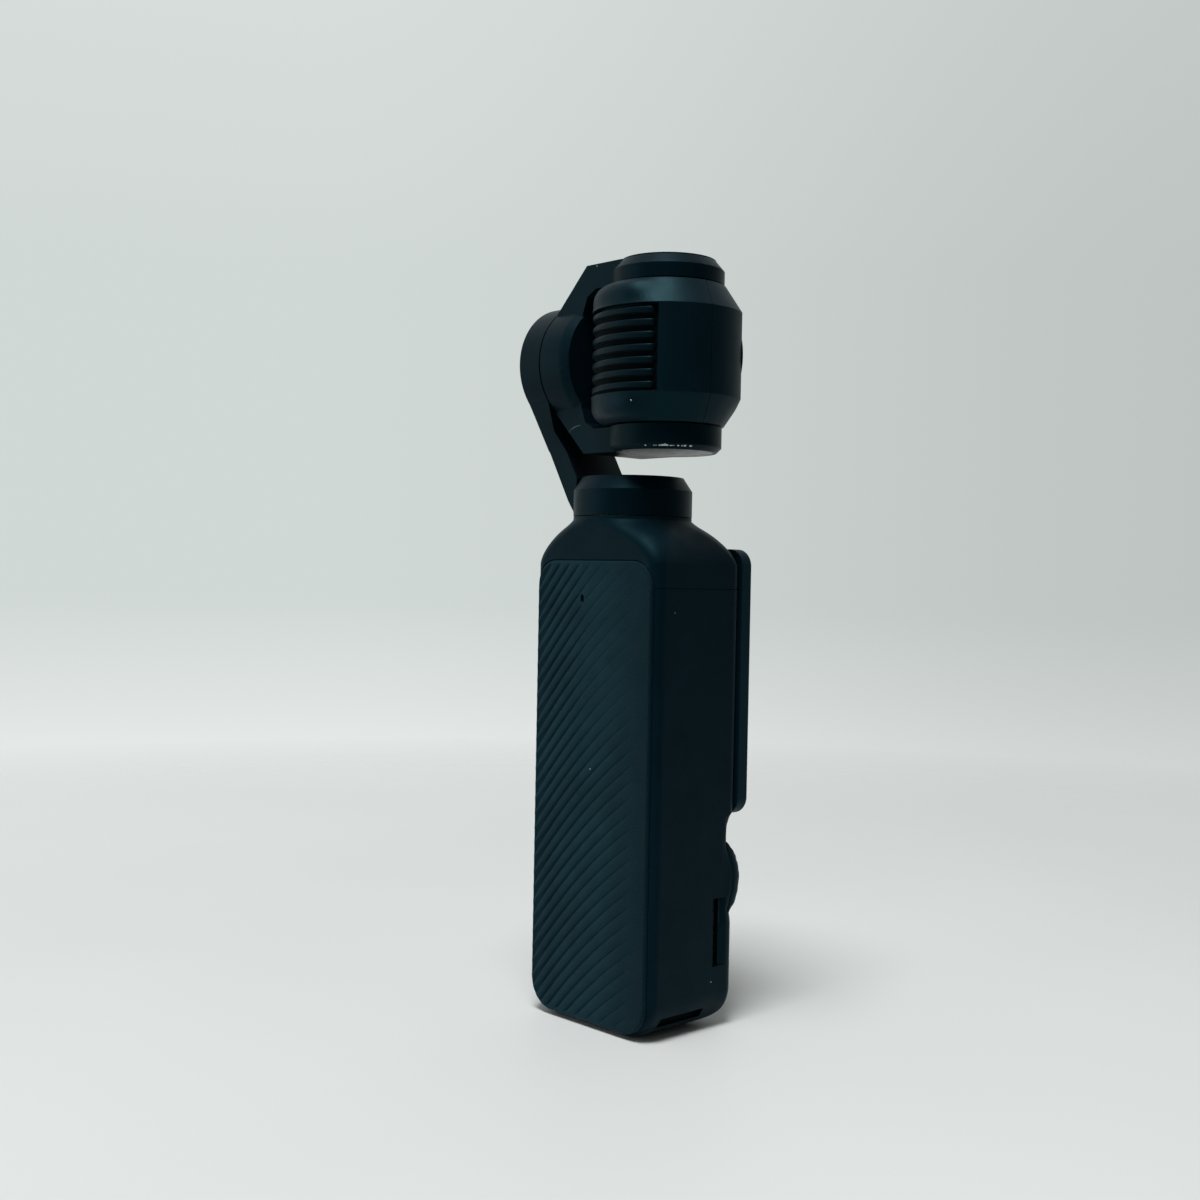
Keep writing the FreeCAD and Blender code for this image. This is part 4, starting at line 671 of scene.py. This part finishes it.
def add_loop(mesh, loop, places):
    """Joins a loop of vertices to a new one at the places given."""
    added = [mesh.verts.new(place) for place in places]
    for index in range(len(loop)):
        after = (index + 1) % len(loop)
        mesh.faces.new([loop[index], loop[after], added[after], added[index]])
    return added


# Camera head

FIN_COUNT = 7
FIN_PITCH = 2.17
FIN_THICKNESS = 1.15
FIN_ROUND = 0.34
FIN_BASE_RADIUS = 12.43
FIN_RADIUS = 13.58
FIN_HALF_ANGLE = 62
FIN_PLATE_ANGLE = 63
FIN_PLATE_HALF = 7.35


def swept_bar(mesh, profile_at, half_angle, steps):
    """Sweeps a closed (radius, height) outline about the tilt axis, centred on the back of the head."""
    heading = math.radians(90 - LENS_HEADING)
    rings = []
    for step in range(steps + 1):
        share = 2 * step / steps - 1
        angle = heading + math.radians(half_angle) * share
        ring = []
        for radius, height in profile_at(share * half_angle):
            point = Vector((TILT_X + radius * math.cos(angle), radius * math.sin(angle), ROLL_Z + height))
            ring.append(mesh.verts.new(point * MM))
        rings.append(ring)
    size = len(rings[0])
    for lower, upper in zip(rings, rings[1:]):
        for index in range(size):
            after = (index + 1) % size
            mesh.faces.new([lower[index], lower[after], upper[after], upper[index]])
    mesh.faces.new(list(reversed(rings[0])))
    mesh.faces.new(rings[-1])


def heat_sink():
    """Seven rounded fins on a curved plate, each fading into the plate at its ends."""
    mesh = bmesh.new()
    plate = ((FIN_BASE_RADIUS, -FIN_PLATE_HALF), (FIN_BASE_RADIUS + 0.27, -FIN_PLATE_HALF),
             (FIN_BASE_RADIUS + 0.27, FIN_PLATE_HALF), (FIN_BASE_RADIUS, FIN_PLATE_HALF))
    swept_bar(mesh, lambda turn: plate, FIN_PLATE_ANGLE, 84)
    run_out = 5.0
    for index in range(FIN_COUNT):
        middle = (index - (FIN_COUNT - 1) / 2) * FIN_PITCH

        def profile(turn, middle=middle):
            left = (FIN_HALF_ANGLE - abs(turn)) / run_out
            height = math.sqrt(max(0.0, 1 - (1 - min(1.0, left)) ** 2))
            crest = FIN_BASE_RADIUS + 0.1 + (FIN_RADIUS - FIN_BASE_RADIUS - 0.1) * (0.12 + 0.88 * height)
            half = FIN_THICKNESS / 2
            points = [(FIN_BASE_RADIUS + 0.1, middle - half * 1.12)]
            for sense in (-1, 1):
                corner = []
                for step in range(5):
                    angle = math.radians(90 * step / 4)
                    corner.append((crest - FIN_ROUND * (1 - math.sin(angle)),
                                   middle + sense * (half - FIN_ROUND * (1 - math.cos(angle)))))
                points += corner if sense < 0 else reversed(corner)
            return [*points, (FIN_BASE_RADIUS + 0.1, middle + half * 1.12)]

        swept_bar(mesh, profile, FIN_HALF_ANGLE, 72)
    piece = finished("heat_sink_fins", mesh, "camera", "fin_alloy", replaced=("heat_sink",))
    # Painted shade: the plate between the fins is near-black for the shade in the gaps.
    piece.data.materials.append(PAINTED_SHADE_BLACK)
    for face in piece.data.polygons:
        reach = math.hypot(face.center.x / MM - TILT_X, face.center.y / MM)
        face.material_index = int(reach < FIN_BASE_RADIUS + 0.5)


SHOULDER_START = 7.75
SHOULDER_END = 12.55
CONE_WALL = 13.7
CONE_END = 10.55
SHOULDER_RADIUS = 3.2
BACK_FULL = 34
BACK_NONE = 66


def rounded_back(vertex):
    """Swells the conical ends of the head into round shoulders round its back."""
    place = vertex.co / MM
    height = abs(place.z - ROLL_Z)
    if not SHOULDER_START < height < SHOULDER_END + 0.05:
        return
    flat = Vector((place.x - TILT_X, place.y))
    climbed = (height - SHOULDER_START) / (SHOULDER_END - SHOULDER_START)
    cone = CONE_WALL + (CONE_END - CONE_WALL) * climbed
    if abs(flat.length - cone) > 0.15:
        return
    heading = math.radians(90 - LENS_HEADING)
    turn = math.degrees(abs(flat.angle_signed(Vector((math.cos(heading), math.sin(heading))), 0)))
    centre = CONE_WALL - SHOULDER_RADIUS - 0.1
    rise = max(0.0, height - (SHOULDER_END + 0.05 - SHOULDER_RADIUS))
    ball = centre + math.sqrt(max(0.0, SHOULDER_RADIUS ** 2 - rise ** 2))
    share = 1 - blend_step(BACK_FULL, BACK_NONE, turn)
    swell = max(0.0, ball - cone) * share
    vertex.co += Vector((flat.x, flat.y, 0)).normalized() * swell * MM


def lens_direction():
    turn = math.radians(LENS_HEADING)
    return Vector((-math.sin(turn), -math.cos(turn), 0))


def lens():
    """The lens ring, its glass, and the stepped black tube with the small lens inside."""
    place = along((TILT_X, 0, ROLL_Z), lens_direction())
    ring = bmesh.new()
    corners = [(6.5, 9.4), (7.6, 9.4), (7.6, 11.8), (6.75, 11.8), (6.55, 11.35), (6.5, 11.3),
               (6.5, 9.4)]
    lathe(ring, rounded_profile(corners, 0.12), place)
    bmesh.ops.remove_doubles(ring, verts=ring.verts, dist=WELD)
    finished("lens_ring_turned", ring, "camera", "lens_black", replaced=("lens_ring",))
    glass = bmesh.new()
    crown = [(6.45 * share, 11.2 - 0.12 * share ** 2) for share in (0, 0.25, 0.5, 0.75, 0.95)]
    lathe(glass, crown + [(6.44, 10.98), (6.45, 10.3), (6.2, 10.21), (0, 10.21)], place)
    finished("lens_glass_crown", glass, "camera", "lens_coating", replaced=("lens_glass",))
    barrel = bmesh.new()
    steps = [(6.3, 10.15), (6.3, 1.5), (4.8, 1.5), (4.8, 5.0)]
    radius, depth = 4.8, 5.0
    while radius < 6.0:
        steps += [(radius, depth), (radius, depth + 0.55), (radius + 0.22, depth + 0.55)]
        radius += 0.22
        depth += 0.78
    steps += [(6.0, 10.15), (6.3, 10.15)]
    lathe(barrel, steps, place)
    bmesh.ops.remove_doubles(barrel, verts=barrel.verts, dist=WELD)
    finished("lens_barrel_baffled", barrel, "camera", "lens_black", replaced=("lens_barrel",))
    inner = bmesh.new()
    turns = [math.radians(turn) for turn in range(0, 91, 9)]
    dome = [(4.7 * math.sin(turn), 4.4 + 2.6 * math.cos(turn)) for turn in turns]
    lathe(inner, dome + [(4.7, 3.6), (0, 3.6)], place)
    finished("inner_lens", inner, "camera", "lens_coating",
             material=coated_glass("inner_lens_coating", (0.75, 0.45, 1.0)))


def turned_cap(name, node, body, radius, low, high, x, facing):
    """A round motor cap with a fine chamfer and one shallow turned ring."""
    mesh = bmesh.new()
    thick = high - low
    corners = [(0, 0), (radius, 0), (radius, thick), (radius - 1.4, thick), (radius - 1.46, thick - 0.06),
               (radius - 1.66, thick - 0.06), (radius - 1.72, thick), (0, thick)]
    base = low if facing > 0 else high
    turned = Matrix.Rotation(0 if facing > 0 else math.pi, 4, "X")
    lathe(mesh, rounded_profile(corners, 0.1), Matrix.Translation(Vector((x, 0, base)) * MM) @ turned)
    finished(name, mesh, body, SLOT_OF[node], replaced=(node,))


# Wear: chipped paint, a rub and specks of dust, each half set into its surface

CHIP_HEIGHT = 105.5
CHIP_RADIUS = 9.83
CHIP_THICKNESS = 0.12
SPECK_THICKNESS = 0.05
YOKE_SIDE = 7.6

# Chips: angle about the tilt axis and half width in degrees, half height in millimetres
CHIPS = (
    (113.7, 0.9, 0.13), (122.6, 0.9, 0.09), (124.9, 0.8, 0.11), (128.6, 1.4, 0.12), (131.2, 1.3, 0.2),
    (133.7, 1.7, 0.27), (136.2, 1.3, 0.17), (140.2, 1.6, 0.09), (143.0, 1.1, 0.07), (147.7, 1.1, 0.12),
    (151.9, 1.2, 0.12), (154.9, 1.2, 0.2), (161.2, 1.6, 0.2),
)

# Specks: name, body, slot, place, the way it faces, radius
SPECKS = (
    ("dust_on_head", "camera", "camera_casing", (-12.09, 12.81, 113.13), (-0.36, 0.92, -0.16), 0.11),
    ("dust_on_grip", "handle", "grip", (-0.28, 9.88, 47.19), (0, 1, 0), 0.1),
    ("dust_on_side", "handle", "casing", (-16.2, -6.41, 8.77), (-1, 0, 0), 0.09),
    ("dust_on_shoulder", "handle", "casing", (-16.2, 4.97, 76.08), (-1, 0, 0), 0.07),
    ("nick_on_yoke", "roll_head", "gimbal_alloy", (2.86, YOKE_SIDE, 139.3), (0, 1, 0), 0.09),
)

# Rub on the side of the yoke: x, z and half width
RUB = (
    (9.75, 109.2, 0.05), (8.9, 109.75, 0.1), (8.1, 110.08, 0.12), (7.2, 110.25, 0.09), (6.4, 110.3, 0.03),
)


def flake(mesh, place, reach_across, reach_up, reach_out):
    """An irregular flat lump with the half sizes given, moved by a matrix whose Z points outwards."""
    made = bmesh.ops.create_icosphere(mesh, subdivisions=2, radius=1.0)
    for vertex in made["verts"]:
        ragged = 1 + dice.uniform(-0.28, 0.28)
        vertex.co.x *= reach_across * ragged * MM
        vertex.co.y *= reach_up * ragged * MM
        vertex.co.z *= reach_out * MM
        vertex.co = place @ vertex.co


def paint_chips():
    mesh = bmesh.new()
    up = Vector((0, 0, 1))
    for angle, half_turn, half_tall in CHIPS:
        turn = math.radians(angle)
        out = Vector((math.cos(turn), math.sin(turn), 0))
        rise = (out + up).normalized()
        place = Vector((TILT_X, 0, CHIP_HEIGHT)) + out * CHIP_RADIUS + rise * half_tall * 0.6
        matrix = Matrix((up.cross(out), rise, (out - up).normalized())).transposed().to_4x4()
        reach = CHIP_RADIUS * math.radians(half_turn)
        flake(mesh, Matrix.Translation(place * MM) @ matrix, reach, half_tall, CHIP_THICKNESS)
    finished("paint_chips", mesh, "roll_head", "gimbal_alloy", material=CHIPPED)


def paint_rub():
    mesh = bmesh.new()
    rings = []
    sunk = YOKE_SIDE - 0.05
    proud = YOKE_SIDE + 0.015
    for x, z, half in RUB:
        ring = [(x, sunk, z - half), (x, proud, z - half * 0.7), (x, proud, z + half * 0.7),
                (x, sunk, z + half)]
        rings.append([mesh.verts.new(Vector(point) * MM) for point in ring])
    for first, last in zip(rings, rings[1:]):
        for index in range(4):
            after = (index + 1) % 4
            mesh.faces.new([first[index], first[after], last[after], last[index]])
    mesh.faces.new(rings[0])
    mesh.faces.new(rings[-1])
    finished("paint_rub", mesh, "roll_head", "gimbal_alloy", material=RUBBED)


def wear():
    paint_chips()
    paint_rub()
    for name, body, slot, place, normal, radius in SPECKS:
        mesh = bmesh.new()
        flake(mesh, along(place, normal), radius, radius, SPECK_THICKNESS)
        finished(name, mesh, body, slot, material=CHIPPED)


# Stage, light and camera

CAMERA_TURN = 226.7
CAMERA_PITCH = -0.88
CAMERA_ROLL = 1.09
CAMERA_DISTANCE = 271.16
CAMERA_HEIGHT = 82.16
CAMERA_SIDE = 1.43
FOCAL_PIXELS = 1490.56
PHOTO_PIXELS = 1200
SENSOR = 36.0


def camera_axes():
    """Right, up and forward of the photograph's camera before its pitch and roll."""
    turn = math.radians(CAMERA_TURN)
    right = Vector((math.cos(turn), math.sin(turn), 0))
    forward = Vector((-math.sin(turn), math.cos(turn), 0))
    return right, Vector((0, 0, 1)), forward


def add_camera():
    right, up, forward = camera_axes()
    centre = Vector((0, PANEL_FACE, CAMERA_HEIGHT)) - forward * CAMERA_DISTANCE + right * CAMERA_SIDE
    pitch = math.radians(CAMERA_PITCH)
    roll = math.radians(CAMERA_ROLL)
    look = forward * math.cos(pitch) + up * math.sin(pitch)
    top = up * math.cos(pitch) - forward * math.sin(pitch)
    side = right * math.cos(roll) + top * math.sin(roll)
    top = top * math.cos(roll) - right * math.sin(roll)
    data = bpy.data.cameras.new("photo_camera")
    data.sensor_width = SENSOR
    data.lens = FOCAL_PIXELS / PHOTO_PIXELS * SENSOR
    data.clip_start = 0.01
    data.clip_end = 20
    camera = bpy.data.objects.new("photo_camera", data)
    bpy.context.scene.collection.objects.link(camera)
    turn = Matrix((side, top, -look)).transposed().to_4x4()
    camera.matrix_world = Matrix.Translation(centre * MM) @ turn
    bpy.context.scene.camera = camera


def softbox(name, place, size, power):
    """A square lamp that looks at the middle of the object. The place is in metres."""
    data = bpy.data.lights.new(name, "AREA")
    data.shape = "SQUARE"
    data.size = size
    data.energy = power
    lamp = bpy.data.objects.new(name, data)
    bpy.context.scene.collection.objects.link(lamp)
    aim = Vector((0, 0, 0.075)) - Vector(place)
    lamp.matrix_world = Matrix.Translation(Vector(place)) @ aim.to_track_quat("-Z", "Y").to_matrix().to_4x4()


def add_lights():
    right, up, forward = camera_axes()
    left = -right
    softbox("ceiling_light", left * 0.12 - forward * 0.32 + up * 1.05, size=0.36, power=9.3)
    softbox("window_light", left * 0.8 - forward * 0.12 + up * 0.12, size=0.5, power=0.8)


WALL = (0.615, 0.665, 0.645)
WALL_LIGHT = (0.73, 0.76, 0.75)
FLOOR_GLOW = (0.785, 0.815, 0.808)
LIGHT_SHARE = 0.42
ROOM_STOPS = (
    (0.0, FLOOR_GLOW), (0.41, FLOOR_GLOW), (0.445, scaled(FLOOR_GLOW, 0.96)), (0.49, WALL), (0.6, WALL),
    (0.8, WALL_LIGHT), (1.0, WALL_LIGHT),
)


class Room:
    """The world's nodes, with short ways to add them."""

    def __init__(self):
        world = bpy.data.worlds.new("pale_room")
        bpy.context.scene.world = world
        world.use_nodes = True
        self.nodes = world.node_tree.nodes
        self.links = world.node_tree.links
        self.direction = self.nodes.new("ShaderNodeTexCoord").outputs["Generated"]

    def maths(self, kind, *sources):
        item = self.nodes.new("ShaderNodeMath")
        item.operation = kind
        for socket, source in zip(item.inputs, sources):
            if isinstance(source, (int, float)):
                socket.default_value = source
            else:
                self.links.new(source, socket)
        return item.outputs["Value"]

    def facing(self, way, low, high, out_low, out_high):
        """A smooth step with how far a direction faces a way."""
        dot = self.nodes.new("ShaderNodeVectorMath")
        dot.operation = "DOT_PRODUCT"
        self.links.new(self.direction, dot.inputs[0])
        dot.inputs[1].default_value = way
        step = self.nodes.new("ShaderNodeMapRange")
        step.interpolation_type = "SMOOTHSTEP"
        self.links.new(dot.outputs["Value"], step.inputs["Value"])
        set_range(step, low, high, out_low, out_high)
        return step.outputs["Result"]

    def colour(self):
        """The floor's white below and the wall's grey-green above."""
        parts = self.nodes.new("ShaderNodeSeparateXYZ")
        self.links.new(self.direction, parts.inputs["Vector"])
        ramp = self.nodes.new("ShaderNodeValToRGB")
        height = self.maths("MULTIPLY_ADD", parts.outputs["Z"], 0.5, 0.5)
        self.links.new(height, ramp.inputs["Fac"])
        while len(ramp.color_ramp.elements) < len(ROOM_STOPS):
            ramp.color_ramp.elements.new(0.5)
        for element, (place, colour) in zip(ramp.color_ramp.elements, ROOM_STOPS):
            element.position = place
            element.color = (*colour, 1)
        return ramp.outputs["Color"]


def add_world():
    """A pale room, darker behind the camera and to the right. It lights less than it shows."""
    room = Room()
    right, up, forward = camera_axes()
    lit_side = (forward * 1.0 - right * 0.55 + up * 0.5).normalized()
    shade = room.facing(lit_side, -0.75, 0.75, 0.1, 1.0)
    paler = room.facing(-right, -0.42, 0.2, 0.83, 1.03)
    rays = room.nodes.new("ShaderNodeLightPath")
    clear = room.maths("MAXIMUM", rays.outputs["Is Camera Ray"], rays.outputs["Is Transmission Ray"])
    seen = room.maths("MULTIPLY", clear, paler)
    for_gloss = room.maths("MULTIPLY", rays.outputs["Is Glossy Ray"], shade)
    for_light = room.maths("MULTIPLY", shade, LIGHT_SHARE)
    strength = room.maths("MAXIMUM", room.maths("MAXIMUM", seen, for_gloss), for_light)
    background = room.nodes["Background"]
    room.links.new(room.colour(), background.inputs["Color"])
    room.links.new(strength, background.inputs["Strength"])


FLOOR_RADII = (0.0, 0.05, 0.12, 0.25, 0.45, 0.75)
FLOOR_DROP = 0.00002
FADE_START = 0.12
FADE_END = 0.48


def add_floor():
    """A pale floor whose far parts fade into the room."""
    mesh = bmesh.new()
    lathe(mesh, [(radius / MM, 0.0) for radius in FLOOR_RADII], Matrix.Translation((0, 0, -FLOOR_DROP)))
    data = bpy.data.meshes.new("floor")
    mesh.to_mesh(data)
    mesh.free()
    floor = bpy.data.objects.new("floor", data)
    bpy.context.scene.collection.objects.link(floor)
    look = Shader("floor_paint", (0.83, 0.845, 0.84), 0.55, specular=0.25)
    cloud = look.spread(look.noise(160.0, 2.0), 0.3, 0.7, 0, 1)
    look.feed("Base Color", look.mix(cloud, (0.765, 0.785, 0.78), (0.805, 0.825, 0.82)))
    look.relief(look.noise(0.6, 3.0), 0.01, 0.2)
    length = look.nodes.new("ShaderNodeVectorMath")
    length.operation = "LENGTH"
    look.links.new(look.place, length.inputs[0])
    fade = look.spread(length.outputs["Value"], FADE_START, FADE_END, 0, 1)
    clear = look.nodes.new("ShaderNodeBsdfTransparent")
    joined = look.nodes.new("ShaderNodeMixShader")
    look.links.new(fade, joined.inputs["Fac"])
    look.links.new(look.surface.outputs["BSDF"], joined.inputs[1])
    look.links.new(clear.outputs["BSDF"], joined.inputs[2])
    look.links.new(joined.outputs["Shader"], look.nodes["Material Output"].inputs["Surface"])
    data.materials.append(look.material)


# The whole

SOFT_EDGES = {
    "handle_shell": 0.14, "shoulder_cover": 0.1, "screen_frame": 0.12, "screen_glass": 0.05,
    "pan_arm": 0.16, "yoke": 0.16, "camera_rear_shell": 0.12, "camera_front_shell": 0.12,
    "record_button": 0.1, "joystick_cap": 0.12, "usb_c_socket": 0.06, "status_light_guide": 0.05,
    "record_button_mark": 0.04, "roll_motor_cap": 0.1, "pan_cap": 0.08,
}


SHOULDER_BANDS = 9


def reshape_rear_shell(mesh):
    """Cuts the conical ends of the head into bands and rounds them at its back."""
    length = SHOULDER_END - SHOULDER_START
    levels = [SHOULDER_START + length * step / SHOULDER_BANDS for step in range(1, SHOULDER_BANDS)]
    sliced(mesh, [ROLL_Z + level for level in levels], 2)
    sliced(mesh, [ROLL_Z - level for level in levels], 2)
    for vertex in mesh.verts:
        rounded_back(vertex)


# How far the front corners stand out or in: height, distance
WAIST = (
    (18.8, 0.0), (20.2, -0.15), (21.4, -0.5), (22.8, -0.1), (24.8, 0.3), (27.3, 0.5), (29.0, 0.28),
    (30.8, -0.2), (31.8, -0.6), (32.8, -0.95), (36.7, -0.9), (38.2, -0.6), (39.2, 0.0),
)
WAIST_SLICES = 34
CORNER_LEVELS_X = (11.8, 12.8, 13.8, 14.8, 15.5)
CORNER_LEVELS_Y = (-8.6, -9.6, -10.6, -11.6)
CORNER_REACH_X = (11.8, 15.2)
CORNER_REACH_Y = (8.6, 11.6)
CORNER_WAY = (0.686, 0.728)

# Boxes of the openings in the handle: lowest and highest x, y and z. A clip slot is on each side.
CARD_SLOT = ((-15.7, -5), (-8.5, -6.5), (11.3, 24.1))
CLIP_SLOT = ((13, 16.05), (-5.3, 5.9), (2.2, 4.15))
NAIL_RECESS = ((-15.4, -14.9), (-10.2, -8.3), (11.3, 24.1))
NAIL_FLOOR = -15.75


def within(place, box):
    return all(low < amount < high for amount, (low, high) in zip(place, box))


def paint_slot_shade(piece):
    """Painted shade: the insides of the card slot and the clip slots are coloured near-black, as dark as the
    photograph shows them.
    """
    piece.data.materials.append(PAINTED_SHADE_BLACK)
    for face in piece.data.polygons:
        x, y, z = face.center / MM
        dark = within((x, y, z), CARD_SLOT) or within((abs(x), y, z), CLIP_SLOT)
        face.material_index = int(dark)


def waist(z):
    """How far the front corners of the handle stand out or in at a height."""
    for (low, first), (high, last) in zip(WAIST, WAIST[1:]):
        if low <= z <= high:
            return first + (last - first) * blend_step(low, high, z)
    return 0.0


def reshape_handle(mesh):
    """Carries the finger scoop and the control ridge round the front corners."""
    low, high = WAIST[0][0], WAIST[-1][0]
    sliced(mesh, (low, high), 2)

    def corner(place):
        return low < place.z < high and abs(place.x) > 11 and place.y < -7

    levels = [low + (high - low) * step / WAIST_SLICES for step in range(1, WAIST_SLICES)]
    sliced(mesh, levels, 2, corner)
    for level in CORNER_LEVELS_X:
        sliced(mesh, (level, -level), 0, corner)
    sliced(mesh, CORNER_LEVELS_Y, 1, corner)
    for vertex in mesh.verts:
        place = vertex.co / MM
        if within(place, NAIL_RECESS):
            vertex.co.x = NAIL_FLOOR * MM
        share = blend_step(*CORNER_REACH_X, abs(place.x)) * blend_step(*CORNER_REACH_Y, -place.y)
        if share > 0:
            way = Vector((math.copysign(CORNER_WAY[0], place.x), -CORNER_WAY[1], 0))
            move = way * waist(place.z)
            vertex.co += move * share * MM


def dress_nodes():
    """Every CAD node gets the finish of its slot."""
    for name, item in NODES.items():
        item.data.materials.clear()
        item.data.materials.append(LOOKS[SLOT_OF[name]])


dress_nodes()
RESHAPED = {"camera_rear_shell": reshape_rear_shell, "handle_shell": reshape_handle}
for node_name, edge_radius in SOFT_EDGES.items():
    softened_node = softened(node_name, edge_radius, reshape=RESHAPED.get(node_name))
    if node_name == "handle_shell":
        # Painted shade inside the handle's card and clip slots.
        paint_slot_shade(softened_node)
wear()
grip_panel()
heat_sink()
lens()
turned_cap("upper_tilt_cap_turned", "upper_tilt_cap", "roll_head", 8.65, 138.6, 139.7, TILT_X, 1)
turned_cap("lower_tilt_cap_turned", "lower_tilt_cap", "roll_head", 8.65, 104.98, 106.08, TILT_X, -1)
add_world()
add_lights()
add_floor()
add_camera()
bpy.context.scene.view_settings.view_transform = "Standard"
